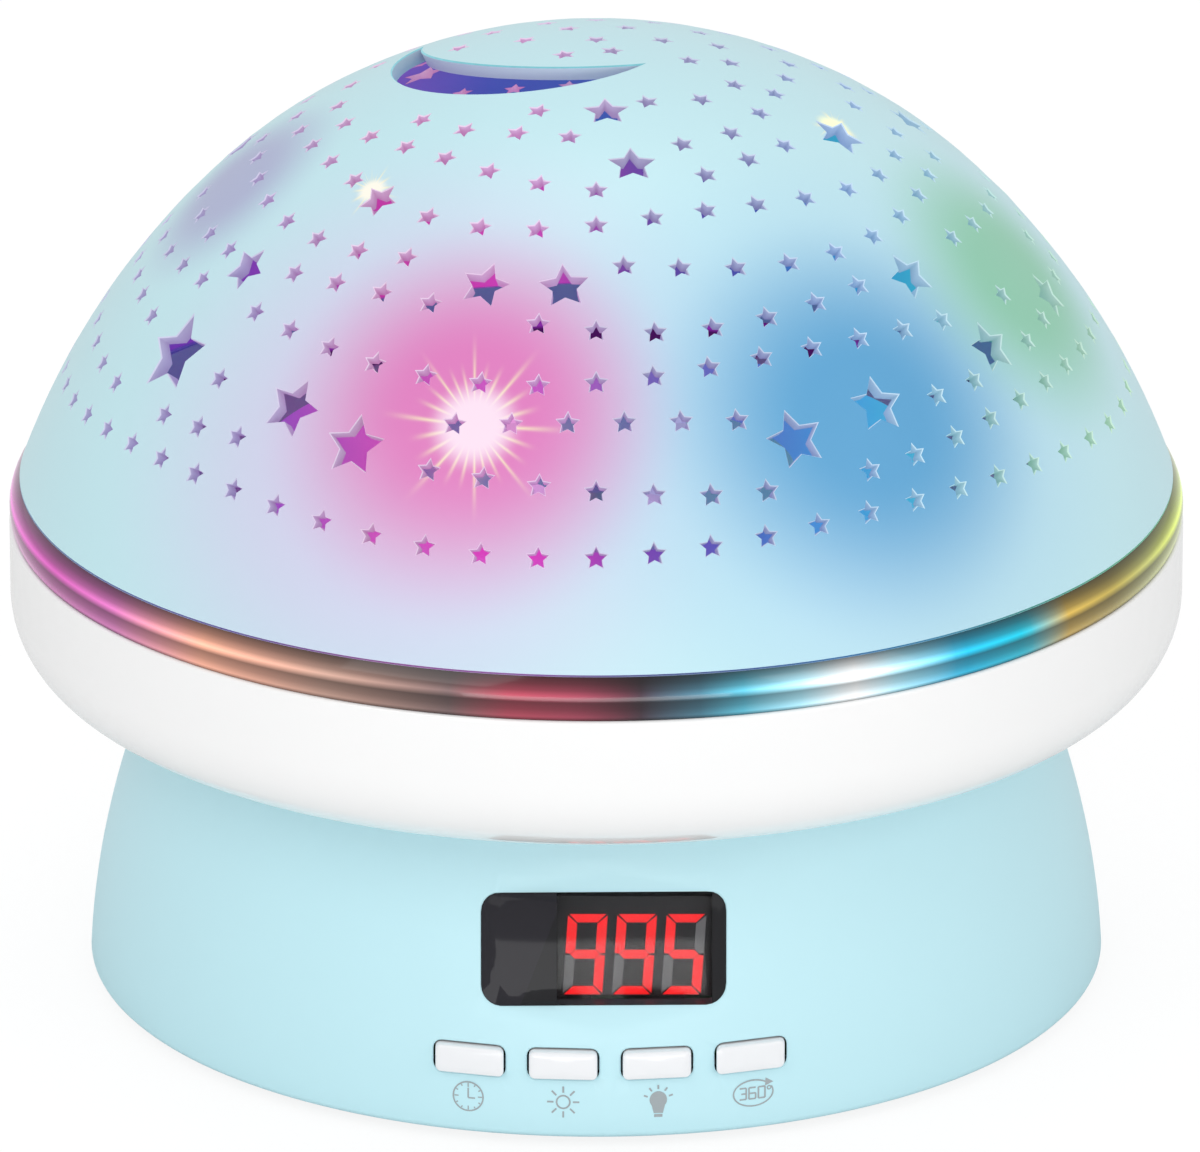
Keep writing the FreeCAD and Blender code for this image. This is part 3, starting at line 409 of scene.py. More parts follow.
def lit(name, colour, strength, base=(0.02, 0.02, 0.02)):
    """Glowing surface: a dark body with light of its own, a little uneven; on the lit segments it is their
    own light, on the unlit segments and the moon's edge it is painted glow.
    """
    material, tree, shader, place = new_material(name)
    feed(tree, shader, {
        "Base Color": (*base, 1), "Roughness": 0.4, "Emission Color": (*colour, 1),
        "Emission Strength": spread(tree, noise(tree, place, 900.0), strength * 0.85, strength * 1.15),
    })
    return material


def curved_plate(box, per_corner, proud, profile):
    """Side of a plate that follows the wall's curve, in steps of growth and depth."""
    rings = []
    for grow, back in profile:
        outline = rounded_rectangle(*box, per_corner, grow)
        rings.append([base_spot(px, pz, proud) + Vector((0, back, 0)) for px, pz in outline])
    n = len(rings[0])
    faces = []
    for k in range(len(rings) - 1):
        for i in range(n):
            j = (i + 1) % n
            faces.append((k * n + i, k * n + j, (k + 1) * n + j, (k + 1) * n + i))
    return [p for ring in rings for p in ring], faces


def add_cap(verts, faces, outline, grid, place, flip=False):
    """Closes a plate with triangles over a grid."""
    start = len(verts)
    cap, cap_faces, _ = pierced_sheet(grid, outline, [], place)
    verts += cap
    for face in cap_faces:
        face = tuple(start + i for i in face)
        faces.append(tuple(reversed(face)) if flip else face)


def window_mesh():
    """Window: a curved plate with a small bevel round its front edge."""
    profile = ((0.0, WINDOW_T), (0.0, HOLE_BEVEL), (-HOLE_BEVEL, 0.0))
    verts, faces = curved_plate(WINDOW_BOX, 6, 0.0, profile)
    across, up = WINDOW_GRID
    grid = []
    for i in range(1, across):
        for j in range(1, up):
            x, z = (i / across - 0.5) * WINDOW_W, (j / up - 0.5) * WINDOW_H
            if abs(x) < WINDOW_W / 2 - WINDOW_GRID_CLEAR or abs(z) < WINDOW_H / 2 - WINDOW_GRID_CLEAR:
                grid.append((WINDOW_X + x, WINDOW_Z + z))
    for back, grow in ((0.0, -HOLE_BEVEL), (WINDOW_T, 0.0)):
        outline = rounded_rectangle(*WINDOW_BOX, 6, grow)
        add_cap(verts, faces, outline, grid, lambda x, z: base_spot(x, z) + Vector((0, back, 0)), back > 0)
    return verts, faces


verts, faces = window_mesh()
window = welded(mesh_piece("smoked_window", verts, faces, [smoked_glass()]))
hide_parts("display_window")
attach(window, "base")


def figure(x):
    """The seven bars of one figure by their letters: outlines that meet in mitred corners."""
    w, h, t, g = DIGIT_W / 2, DIGIT_H / 2, STROKE, STROKE_GAP
    top = [(-w + g, h), (w - g, h), (w - t, h - t + g / 2), (-w + t, h - t + g / 2)]
    upper = [(w, h - g), (w, g), (w - t / 2, g / 2), (w - t, t / 2 + g / 2), (w - t, h - t - g / 2)]
    middle = [(-w + t, t / 2), (w - t, t / 2), (w - t / 2, 0), (w - t, -t / 2), (-w + t, -t / 2),
              (-w + t / 2, 0)]

    def mirrored(points, sx, sz):
        return [(x + a * sx, b * sz) for a, b in points]

    return {
        "a": mirrored(top, 1, 1), "d": mirrored(top, 1, -1), "g": mirrored(middle, 1, 1),
        "b": mirrored(upper, 1, 1), "c": mirrored(upper, 1, -1),
        "f": mirrored(upper, -1, 1), "e": mirrored(upper, -1, -1),
    }


segment_red = lit("segment_lit_red", (0.95, 0.003, 0.006), 1.25)
# The unlit segments glow faintly grey: painted glow.
segment_unlit_painted_glow = lit("segment_unlit_grey_painted_glow", (0.5, 0.5, 0.5), 0.16, (0.12, 0.12, 0.12))
module_black = moulded("module_black", (0.012, 0.012, 0.013), 0.5)
MODULE_W = 25.0
MODULE_H = 11.6
MODULE_X = 0.8
MODULE_D = 5.4
MODULE_DROP = 1.6
MODULE_Z = WINDOW_Z - MODULE_DROP
verts = [(MODULE_X + i * MODULE_W / 2, MODULE_FACE_Y + MODULE_D * j, MODULE_Z + k * MODULE_H / 2)
         for i in (-1, 1) for j in (0, 1) for k in (-1, 1)]
faces = [(0, 1, 3, 2), (4, 6, 7, 5), (0, 4, 5, 1), (2, 3, 7, 6), (0, 2, 6, 4), (1, 5, 7, 3)]
slots = [0] * len(faces)
for number, letters in enumerate(SHOWN):
    for letter, corners in figure((number - 1) * DIGIT_PITCH).items():
        start = len(verts)
        for a, b in corners:
            verts.append((DIGITS_MIDDLE_X + a + b * DIGIT_SLANT, MODULE_FACE_Y - SEGMENT_LIFT,
                          DIGITS_MIDDLE_Z + b))
        faces.append(tuple(range(start, start + len(corners))))
        slots.append(1 if letter in letters else 2)
module = mesh_piece("figure_module", verts, faces, [module_black, segment_red, segment_unlit_painted_glow], slots)
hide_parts("display_digits")
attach(module, "base")


# Keys: four white caps moulded in glossy plastic, sprung on tact switches; each slides in its slot,
# and its front follows the curve of the wall a little proud of it.
KEY_PROUD = 0.75
KEY_DEPTH = 4.2
KEY_EDGE = 0.22
KEY_GRID_IN = (1.6, 1.4)
key_white = moulded("key_white_gloss", (0.80, 0.81, 0.83), 0.22, coat=0.3, mottle=0.01)


def key_mesh(x):
    """Key cap with a rounded front edge."""
    profile = ((0.0, KEY_DEPTH), (0.0, KEY_EDGE), (-KEY_EDGE * 0.35, KEY_EDGE * 0.3), (-KEY_EDGE, 0.0))
    verts, faces = curved_plate((x, *KEY_BOX), 5, KEY_PROUD, profile)
    faces.insert(0, tuple(reversed(range(len(verts) // len(profile)))))
    outline = rounded_rectangle(x, *KEY_BOX, 5, -KEY_EDGE)
    grid = [(x + (i / 8 - 0.5) * (KEY_W - KEY_GRID_IN[0]), KEYS_Z + (j / 3 - 0.5) * (KEY_H - KEY_GRID_IN[1]))
            for i in range(9) for j in range(4)]
    add_cap(verts, faces, outline, grid, lambda a, b: base_spot(a, b, KEY_PROUD))
    return verts, faces


for i, key_name in enumerate(KEY_NAMES):
    verts, faces = key_mesh(key_x(i))
    cap = welded(mesh_piece("key_" + key_name, verts, faces, [key_white]))
    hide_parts("button_" + key_name)
    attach(cap, "key_" + key_name)


# Printed signs under the keys: a clock, a sun, a bulb and a round arrow with the figures 360,
# pad-printed in grey ink straight on the wall.
SIGN_Z = 5.2
SIGN_LINE = 0.16
SIGN_LIFT = 0.02
ink = moulded("sign_ink_grey", (0.33, 0.37, 0.39), 0.6)


def ribbon(points, width):
    """Flat band along a line, as pairs of places in the plane of the wall."""
    quads = []
    for (ax, az), (bx, bz) in zip(points, points[1:]):
        length = math.hypot(bx - ax, bz - az)
        nx, nz = -(bz - az) / length * width / 2, (bx - ax) / length * width / 2
        quads.append([(ax - nx, az - nz), (bx - nx, bz - nz), (bx + nx, bz + nz), (ax + nx, az + nz)])
    return quads


def rays(x, z, inner, outer, turns, width):
    """Short lines round a middle, at these angles."""
    shapes = []
    for turn in turns:
        a = math.radians(turn)
        shapes += ribbon([(x + r * math.cos(a), z + r * math.sin(a)) for r in (inner, outer)], width)
    return shapes


def clock(x):
    shapes = ribbon(bow(x, SIGN_Z, 1.62, 0, 360, 28), SIGN_LINE)
    for i in range(12):
        reach = 0.45 if i % 3 == 0 else 0.22
        shapes += rays(x, SIGN_Z, 1.5 - reach, 1.5, [30 * i], SIGN_LINE * 0.8)
    shapes += ribbon([(x, SIGN_Z + 0.95), (x, SIGN_Z - 0.15), (x + 0.75, SIGN_Z - 0.15)], SIGN_LINE)
    return shapes


def sun(x):
    shapes = ribbon(bow(x, SIGN_Z, 0.72, 0, 360, 28), SIGN_LINE * 1.15)
    return shapes + rays(x, SIGN_Z, 1.05, 1.75, range(0, 360, 45), SIGN_LINE * 1.2)


def bulb(x):
    top = SIGN_Z + 0.15
    shapes = [bow(x, top, 0.95, 0, 360, 22)[:-1]]
    shapes.append([(x - 0.5, top - 1.5), (x + 0.5, top - 1.5), (x + 0.72, top - 0.6), (x - 0.72, top - 0.6)])
    shapes.append([(x - 0.45, top - 1.95), (x + 0.45, top - 1.95), (x + 0.45, top - 1.62),
                   (x - 0.45, top - 1.62)])
    return shapes + rays(x, top, 1.2, 1.65, (18, 54, 90, 126, 162), SIGN_LINE * 1.2)


def round_arrow(x):
    shapes = []
    wide, tall = 2.15, 1.45
    loop = [(x + wide * math.cos(math.radians(t)), SIGN_Z + tall * math.sin(math.radians(t)))
            for t in range(48, 395, 12)]
    shapes += ribbon(loop, SIGN_LINE)
    tip_x, tip_z = loop[0]
    shapes.append([(tip_x + 0.75, tip_z - 0.05), (tip_x - 0.1, tip_z + 0.5), (tip_x - 0.15, tip_z - 0.4)])
    height, width, pitch = 1.25, 0.72, 1.02
    for i, strokes in enumerate((
        [[(0, 2), (1, 2), (1, 0), (0, 0)], [(0.25, 1), (1, 1)]],
        [[(1, 2), (0, 2), (0, 0), (1, 0), (1, 1), (0, 1)]],
        [[(0, 0), (1, 0), (1, 2), (0, 2), (0, 0)]],
    )):
        left = x - 1.5 * pitch + i * pitch + 0.05
        for stroke in strokes:
            line = [(left + a * width, SIGN_Z - height / 2 + b * height / 2) for a, b in stroke]
            shapes += ribbon(line, SIGN_LINE * 1.1)
    shapes += ribbon(bow(x + 1.72, SIGN_Z + 0.42, 0.2, 0, 360, 10), SIGN_LINE * 0.8)
    return shapes


verts, faces = [], []
for i, draw in enumerate((clock, sun, bulb, round_arrow)):
    for shape in draw(key_x(i) - 0.15 + 0.15 * i):
        start = len(verts)
        verts += [base_spot(px, pz, SIGN_LIFT) for px, pz in shape]
        faces.append(tuple(range(start, start + len(shape))))
signs = mesh_piece("printed_signs", verts, faces, [ink])
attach(signs, "base")


# Underside and inner pieces: a screwed cover in the base's plastic with the battery bay and its
# door, soft feet, the motor, boards and fasteners. They keep their built shapes and get finishes.
def metal(name, colour, roughness):
    """Plated or brushed metal with fine drawn lines."""
    material, tree, shader, place = new_material(name)
    drawn = add(tree, "ShaderNodeMapping", {"Vector": place, "Scale": (1, 1, 30)}).outputs["Vector"]
    feed(tree, shader, {
        "Base Color": (*colour, 1), "Metallic": 1.0,
        "Roughness": spread(tree, noise(tree, drawn, 400.0), roughness * 0.7, roughness * 1.3),
    })
    return material


def finish_nodes(material, *names):
    """Gives built pieces their finish."""
    for name in names:
        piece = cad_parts[name]
        if not piece.data.materials:
            piece.data.materials.append(material)
        for slot in piece.material_slots:
            slot.material = material


screw_steel = metal("zinc_plated_steel", (0.62, 0.62, 0.60), 0.3)
finish_nodes(moulded("cover_blue_textured", BASE_BLUE, 0.55, bump_mm=0.02), "bottom_cover", "battery_door")
finish_nodes(moulded("foot_rubber_grey", (0.045, 0.045, 0.05), 0.85, bump_mm=0.02), "rubber_feet")
finish_nodes(screw_steel, "cover_screws", "motor_screws", "post_screws", "ring_gear_screws", "lamp_screws",
             "retaining_ring")
finish_nodes(metal("motor_can_steel", (0.55, 0.55, 0.52), 0.35), "gear_motor")
finish_nodes(metal("leaf_contact_nickel", (0.72, 0.70, 0.66), 0.2), "battery_contacts")
finish_nodes(metal("bush_brass", (0.78, 0.57, 0.26), 0.3), "bearing_bush")
finish_nodes(moulded("gear_acetal", (0.78, 0.76, 0.68), 0.35), "ring_gear", "drive_pinion", "thrust_washer")
finish_nodes(moulded("board_green_mask", (0.02, 0.13, 0.05), 0.35, mottle=0.15), "control_board")
finish_nodes(moulded("switch_black", (0.02, 0.02, 0.02), 0.4), "key_switches", "power_jack")
finish_nodes(moulded("column_white", (0.75, 0.75, 0.76), 0.4), "center_post")
finish_nodes(moulded("lamp_board_white_mask", (0.78, 0.78, 0.76), 0.35), "lamp_board")


# Lamp: a white dished tray on the column, and round-nosed coloured lamps on a board; their light,
# in soft pools of pink, blue, green and violet on the tray and the inside of the dome, is painted as glow.
# Painted light on the dome: soft coloured pools where the lamps stand behind it, and glaring spots with rays.
PAINTED_LAMP_GLOWS = (
    ("violet", (-40.0, -4.0, 93.0), 16.0, (0.36, 0.36, 0.58), 0.85),
    ("lilac", (-19.0, -45.0, 76.0), 42.0, (0.60, 0.50, 0.72), 0.75),
    ("haze", (27.0, -42.0, 76.0), 40.0, (0.34, 0.57, 0.74), 0.8),
    ("pink", (-13.5, -47.5, 81.0), 25.0, (0.64, 0.17, 0.45), 1.0),
    ("blue", (28.3, -42.3, 78.3), 26.0, (0.075, 0.315, 0.57), 0.95),
    ("green", (47.0, -14.0, 86.0), 22.0, (0.20, 0.52, 0.32), 0.85),
)
PAINTED_GLINTS = (
    ("pink_spot", (-13.0, -49.3, 80.7), 4.6, 12.0, (0.95, 0.74, 0.88)),
    ("left_spot", (-24.3, -21.7, 97.7), 1.7, 4.5, (0.95, 0.92, 0.80)),
    ("right_spot", (26.0, -8.5, 100.6), 2.0, 4.5, (0.92, 0.95, 0.62)),
)
PAINTED_GLINT_RAY_TINT = (0.93, 0.84, 0.52)
HIGH_PAINTED_LAMP_LIGHT_STOPS = (
    (-60.0, (0.10, 0.03, 0.36)), (-40.0, (0.20, 0.04, 0.42)), (-26.0, (0.16, 0.07, 0.42)),
    (-12.0, (0.03, 0.07, 0.40)), (6.0, (0.03, 0.10, 0.42)), (20.0, (0.02, 0.30, 0.60)),
    (34.0, (0.03, 0.45, 0.50)), (60.0, (0.14, 0.60, 0.20)),
)
WASH_HALF_W = 65.0
HIGH_FROM = 74.0
HIGH_TO = 82.0
LAMP_AND_PAINTED_LIGHT_STOPS = (
    (-60.0, (0.10, 0.03, 0.36)), (-38.0, (0.22, 0.03, 0.42)), (-24.0, (0.62, 0.03, 0.36)),
    (-8.0, (0.72, 0.05, 0.50)), (4.0, (0.17, 0.05, 0.36)), (17.0, (0.06, 0.08, 0.42)),
    (26.0, (0.02, 0.25, 0.66)), (36.0, (0.03, 0.42, 0.62)), (46.0, (0.06, 0.50, 0.26)),
    (62.0, (0.20, 0.66, 0.12)),
)


def colour_ramp(tree, share, stops):
    """Colour by share, from pairs of share and colour."""
    ramp = add(tree, "ShaderNodeValToRGB", {"Fac": share})
    points = ramp.color_ramp.elements
    while len(points) < len(stops):
        points.new(0.5)
    for point, (position, colour) in zip(points, stops):
        point.position = position
        point.color = (*colour, 1)
    return ramp.outputs["Color"]


def side_ramp(tree, across, stops, lighten):
    """Colour from left to right, with its stops in millimetres from the middle."""
    share = spread(tree, across, 0.0, 1.0, -WASH_HALF_W * MM, WASH_HALF_W * MM)
    return colour_ramp(tree, share, [((x + WASH_HALF_W) / (2 * WASH_HALF_W),
                                      [c + (1 - c) * lighten for c in colour]) for x, colour in stops])


def lamp_light_painted(name, body, strength, lighten, roughness=0.45, high_stops=None):
    """Plastic with the coloured lamps' light painted on it as glow over its own colour; on the lamps
    themselves the glow is their own light.
    """
    material, tree, shader, place = new_material(name)
    split = axes(tree, place)
    colour = side_ramp(tree, split["X"], LAMP_AND_PAINTED_LIGHT_STOPS, lighten)
    if high_stops:
        height = spread(tree, split["Z"], 0.0, 1.0, HIGH_FROM * MM, HIGH_TO * MM,
                        interpolation_type="SMOOTHSTEP")
        colour = mix(tree, height, colour, side_ramp(tree, split["X"], high_stops, lighten))
    feed(tree, shader, {
        "Base Color": (*body, 1), "Roughness": roughness, "Emission Color": colour,
        "Emission Strength": spread(tree, noise(tree, place, 60.0), strength * 0.8, strength * 1.2),
    })
    return material


# The tray's pools of coloured lamp light are painted as glow; the lamps' own glow is real light.
finish_nodes(lamp_light_painted("tray_white_painted_lamp_light", (0.35, 0.35, 0.38), 0.75, 0.0), "lamp_tray")
finish_nodes(lamp_light_painted("lamp_epoxy", (0.30, 0.30, 0.31), 0.75, 0.25, 0.15), "lamp_leds")


# Bowl: the glossy white turntable moulding; its rim is the belt under the ring, and its floor
# carries a hub and ribs that show when the dome is off; the ribs are left out here.
BELT_R = 65.0
BELT_STRAIGHT_Z = 44.5
BELT_ROUND_R = 8.6
UNDER_R = 30.2
BELT_TURN = 70.0
BOWL_WALL = 2.2
RING_SET_IN = 0.4
HUB_R = 8.0
HUB_OUT_R = 10.4
HUB_LOW_Z = 30.4
HUB_TOP_Z = 46.0
DOME_TOP_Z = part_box("star_dome")[1][2] / MM
RIM_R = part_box("star_dome")[1][0] / MM
RIM_Z = 57.4
RING_H = 4.7
BELT_TOP_Z = RIM_Z - RING_H
white_gloss = moulded("bowl_white_gloss", (0.865, 0.865, 0.865), 0.16, coat=0.5, mottle=0.006, bump_mm=0.001)


def belt_section(inset):
    """The belt's underside from the straight wall to the floor, in two tangent arcs."""
    first = bow(BELT_R - BELT_ROUND_R, BELT_STRAIGHT_Z, BELT_ROUND_R - inset, 0, -BELT_TURN, 12)
    t = math.radians(BELT_TURN)
    r = BELT_R - BELT_ROUND_R + (BELT_ROUND_R - UNDER_R) * math.cos(t)
    z = BELT_STRAIGHT_Z - (BELT_ROUND_R - UNDER_R) * math.sin(t)
    return first + bow(r, z, UNDER_R - inset, -BELT_TURN, -90, 6)[1:]


outer = belt_section(0.0)
inner = belt_section(BOWL_WALL)
floor_z = outer[-1][1]
section = bow(BELT_R - RING_SET_IN, BELT_TOP_Z - RING_SET_IN, RING_SET_IN, 90, 0, 4) + outer
section += [(HUB_OUT_R, floor_z), (HUB_OUT_R, HUB_LOW_Z), (HUB_R, HUB_LOW_Z), (HUB_R, HUB_TOP_Z)]
section.append((HUB_OUT_R, HUB_TOP_Z))
section += [(HUB_OUT_R, floor_z + BOWL_WALL)] + list(reversed(inner)) + [(BELT_R - BOWL_WALL, BELT_TOP_Z)]
verts, faces = turned_mesh(section, flip=True)
bowl = mesh_piece("white_bowl", verts, faces, [white_gloss])
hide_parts("head_bowl")
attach(bowl, "head")


# Ring: clear moulded acrylic between dome and belt; the lamps' colours run round inside it, with
# painted bright and dark lines along it, as painted highlights and shade where its curved wall bends the
# light, and a painted white flare.
RING_BULGE = 0.7
RING_SEGMENTS = 10
RING_PLUG_T = 2.8
RING_PLUG_DEPTH = 2.5
RING_SEAT_DEPTH = 3.1
RING_FIT = 0.2
RING_LIP_GAP = 0.1
SKIRT_SET_IN = 2.2
RING_PAINTED_LINES = ((0.0, 0.2), (0.10, 0.9), (0.28, 0.5), (0.46, 0.3), (0.60, 1.4), (0.72, 0.65), (0.86, 0.3),
              (1.0, 0.12))
# Lamp colours round the ring, with painted highlights: a lighter band near -41 degrees and a white flare at
# 25.
RING_GLOW_AND_PAINTED_HIGHLIGHT_STOPS = (
    (-150, (0.48, 0.05, 0.58)), (-88, (0.55, 0.04, 0.42)), (-66, (0.42, 0.05, 0.30)),
    (-54, (0.50, 0.12, 0.36)), (-41, (0.78, 0.36, 0.25)), (-27, (0.40, 0.24, 0.19)),
    (-14, (0.14, 0.09, 0.09)), (-8, (0.33, 0.045, 0.075)), (-2, (0.26, 0.04, 0.07)),
    (4, (0.045, 0.02, 0.03)), (10, (0.05, 0.15, 0.21)), (14, (0.08, 0.38, 0.50)),
    (20, (0.40, 0.74, 0.86)), (25, (1.00, 1.00, 1.00)), (30, (0.40, 0.76, 0.90)),
    (37, (0.01, 0.38, 0.60)), (46, (0.0, 0.36, 0.47)), (52, (0.42, 0.28, 0.05)),
    (60, (0.30, 0.23, 0.04)), (68, (0.32, 0.33, 0.08)), (82, (0.50, 0.62, 0.03)),
    (100, (0.45, 0.70, 0.05)), (128, (0.06, 0.20, 0.55)), (155, (0.48, 0.05, 0.58)),
)


def ring_plastic():
    """Clear ring glowing with the lamps' colours round it, with painted highlight and shade lines along it.
    """
    material, tree, shader, place = new_material("ring_clear_lit_painted_lines")
    split = axes(tree, place)
    angle = calc(tree, "ARCTAN2", split["X"], calc(tree, "MULTIPLY", split["Y"], -1.0))
    hue = colour_ramp(tree, spread(tree, angle, 0.0, 1.0, -math.pi, math.pi),
                      [((turn + 180) / 360, colour) for turn, colour in RING_GLOW_AND_PAINTED_HIGHLIGHT_STOPS])
    lines = colour_ramp(tree, spread(tree, split["Z"], 0.0, 1.0, BELT_TOP_Z * MM, RIM_Z * MM),
                        [(share, (level, level, level)) for share, level in RING_PAINTED_LINES])
    glow_with_painted_lines = mix(tree, 1.0, hue, lines, blend_type="MULTIPLY")
    feed(tree, shader, {
        "Base Color": glow_with_painted_lines, "Emission Color": glow_with_painted_lines, "Emission Strength": 0.38, "Roughness": 0.12,
        "Specular IOR Level": 0.3, "Coat Weight": 0.22, "Coat Roughness": 0.03,
    })
    return material


low_r = BELT_R - RING_SET_IN
skirt_r = RIM_R - SKIRT_SET_IN
lip_r = BELT_R - BOWL_WALL - RING_LIP_GAP
seat_z = RIM_Z - RING_SEAT_DEPTH
plug_z = BELT_TOP_Z - RING_PLUG_DEPTH
section = []
for i in range(RING_SEGMENTS + 1):
    t = i / RING_SEGMENTS
    bulge = 4 * t * (1 - t) * RING_BULGE
    section.append((low_r + (RIM_R - low_r) * t + bulge, BELT_TOP_Z + RING_H * t))
section += [(skirt_r + RING_FIT, RIM_Z), (skirt_r + RING_FIT, seat_z), (lip_r - RING_PLUG_T, seat_z)]
section += [(lip_r - RING_PLUG_T, plug_z), (lip_r, plug_z), (lip_r, BELT_TOP_Z)]
verts, faces = turned_mesh(section)
ring = mesh_piece("clear_ring", verts, faces, [ring_plastic()])
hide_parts("light_ring")
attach(ring, "head")


# Dome: a thin light blue moulding pierced by star holes in wavy rows, larger stars among them and
# a crescent moon at the top. The lamps' light is painted on it: coloured pools in its colour and glaring
# spots with rays, and glow on the hole walls and the moon's edge.
DOME_ARCS = ((63.0, 32.5), (57.4, 44.1), (85.9, 69.8))
DOME_WALL = 1.6
ARC_STEPS = 200
DOME_STEPS = 240
DOME_GRID = 2.4
MOON_STEPS = 48
SKIRT_WALL = 1.5
SKIRT_DEPTH = 3.0
STAR_WAIST = 0.5
SMALL_STAR_R = 1.4
LARGE_STAR_R = 3.2
BIG_STAR_UNIT = 1.15
STAR_EDGE = 0.16
STAR_EDGE_DEPTH = 0.14
ROW_FIRST = 3.0
ROW_STEP = 6.3
ROWS = 12
ROW_WAVE = 1.2
STAR_PITCH = 6.2
STAR_CLEAR = 1.0
MOON_CLEAR = 0.9
ROW_WAVES = 4
ROW_SHIFT = 1.9
GRID_PITCH = 2.6
GRID_STAR_CLEAR = 0.7
GRID_RIM_CLEAR = 1.5
RIM_LIP = (0.6, -0.5)
BIG_STARS = (
    (-62, 70.4, 4.3, -14), (-60, 56.5, 2.5, 12), (-39, 71.0, 3.1, 10), (-29, 73.9, 3.1, -4),
    (-17.5, 50.1, 2.5, 8), (-5, 49.5, 2.5, -8), (9, 29.7, 2.4, 4), (4, 18.6, 2.3, 0),
    (24, 72.2, 3.0, -8), (36, 69.9, 2.9, 8), (52, 55.3, 2.6, -6), (58, 68.1, 2.8, 6),
    (79, 68.1, 2.6, 0), (69, 34.3, 2.8, 0), (-45, 40.8, 2.1, 10), (100, 43.1, 2.4, 0),
    (112, 65.2, 3.1, 8), (132, 51.2, 2.6, -8), (150, 71.0, 3.0, 6), (172, 53.6, 2.6, 0),
    (-168, 72.2, 3.1, -10), (-148, 46.6, 2.5, 8), (-128, 66.4, 3.0, 0), (-104, 51.2, 2.6, -6),
)
MOON_AT = (-7.2, 4.5)
MOON_R = 15.4
MOON_BITE_R = 17.7
MOON_BITE_SHIFT = (5.7, 7.5)
DOME_BLUE = (0.50, 0.745, 0.80)


def dome_table():
    """Way down, radius, height and slope along the dome's section."""
    rows = []
    start, way = 0.0, 0.0
    r, z, last = 0.0, DOME_TOP_Z - DOME_ARCS[0][0], DOME_ARCS[0][0]
    for radius, end in DOME_ARCS:
        end = math.radians(end)
        r += (last - radius) * math.sin(start)
        z += (last - radius) * math.cos(start)
        for i in range(ARC_STEPS + 1):
            a = start + (end - start) * i / ARC_STEPS
            rows.append((way + radius * (a - start), r + radius * math.sin(a), z + radius * math.cos(a), a))
        way += radius * (end - start)
        start, last = end, radius
    return rows


DOME_ROWS = dome_table()
DOME_LENGTH = DOME_ROWS[-1][0]
LARGE_STARS = [(turn, share / 100 * DOME_LENGTH, size * BIG_STAR_UNIT, tilt)
               for turn, share, size, tilt in BIG_STARS]


def between(value, column):
    """Row of the dome's table where a column reaches a value."""
    low, high = 0, len(DOME_ROWS) - 1
    while high - low > 1:
        middle = (low + high) // 2
        if DOME_ROWS[middle][column] <= value:
            low = middle
        else:
            high = middle
    a, b = DOME_ROWS[low], DOME_ROWS[high]
    span = b[column] - a[column]
    t = (value - a[column]) / span if span else 0.0
    return [p + (q - p) * t for p, q in zip(a, b)]


def dome_frame(azimuth, way):
    """Point, sideways, upward and outward directions on the dome."""
    _, r, z, slope = between(way, 0)
    a = math.radians(azimuth)
    out = Vector((math.sin(a), -math.cos(a), 0))
    side = Vector((math.cos(a), math.sin(a), 0))
    up = Vector((0, 0, 1))
    normal = out * math.sin(slope) + up * math.cos(slope)
    rise = up * math.sin(slope) - out * math.cos(slope)
    return out * r + up * z, side, rise, normal


def on_map(point):
    """Place of a dome point on the flat map: azimuth kept, distance from the top kept."""
    r = math.hypot(point.x, point.y)
    way = between(r, 1)[0]
    return (way * point.x / r, way * point.y / r) if r > 1e-6 else (0.0, 0.0)


def off_map(x, y):
    """Dome point, in millimetres, of a place on the flat map."""
    way = math.hypot(x, y)
    _, r, z, _ = between(min(way, DOME_LENGTH), 0)
    out = Vector((x / way, y / way, 0)) if way > 1e-6 else Vector((0, 0, 0))
    return out * r + Vector((0, 0, z))


def in_moon(x, y, margin):
    """True within a margin of the crescent, seen from above."""
    x, y = x - MOON_AT[0], y - MOON_AT[1]
    from_disc = math.hypot(x, y) - MOON_R
    from_bite = math.hypot(x - MOON_BITE_SHIFT[0], y - MOON_BITE_SHIFT[1]) - MOON_BITE_R
    return from_disc < margin and from_bite > -margin


def small_star_places():
    """Azimuth and way down of the small stars."""
    places = []
    for row in range(ROWS):
        middle = ROW_FIRST + ROW_STEP * row
        count = round(2 * math.pi * between(middle, 0)[1] / STAR_PITCH)
        for i in range(count):
            azimuth = 360 * (i + 0.5 * (row % 2)) / count - 180
            way = middle + ROW_WAVE * math.sin(math.radians(ROW_WAVES * azimuth) + ROW_SHIFT * row)
            point = dome_frame(azimuth, way)[0]
            clear = not in_moon(point.x, point.y, SMALL_STAR_R + MOON_CLEAR)
            for other, down, size, _ in LARGE_STARS:
                gap = (dome_frame(other, down)[0] - point).length
                clear = clear and gap >= size + SMALL_STAR_R + STAR_CLEAR
            if clear:
                places.append((azimuth, way, SMALL_STAR_R, 0))
    return places


def star_loop(azimuth, way, size, tilt):
    """Ten corners of a star hole, on the plane that touches the dome at its middle."""
    middle, side, rise, _ = dome_frame(azimuth, way)
    plan = []
    for i in range(10):
        plan += bow(0, 0, size * STAR_WAIST if i % 2 else size, 90 - tilt + 36 * i, 90 - tilt + 36 * i, 1)[:1]
    return [middle + side * x + rise * y for x, y in plan]


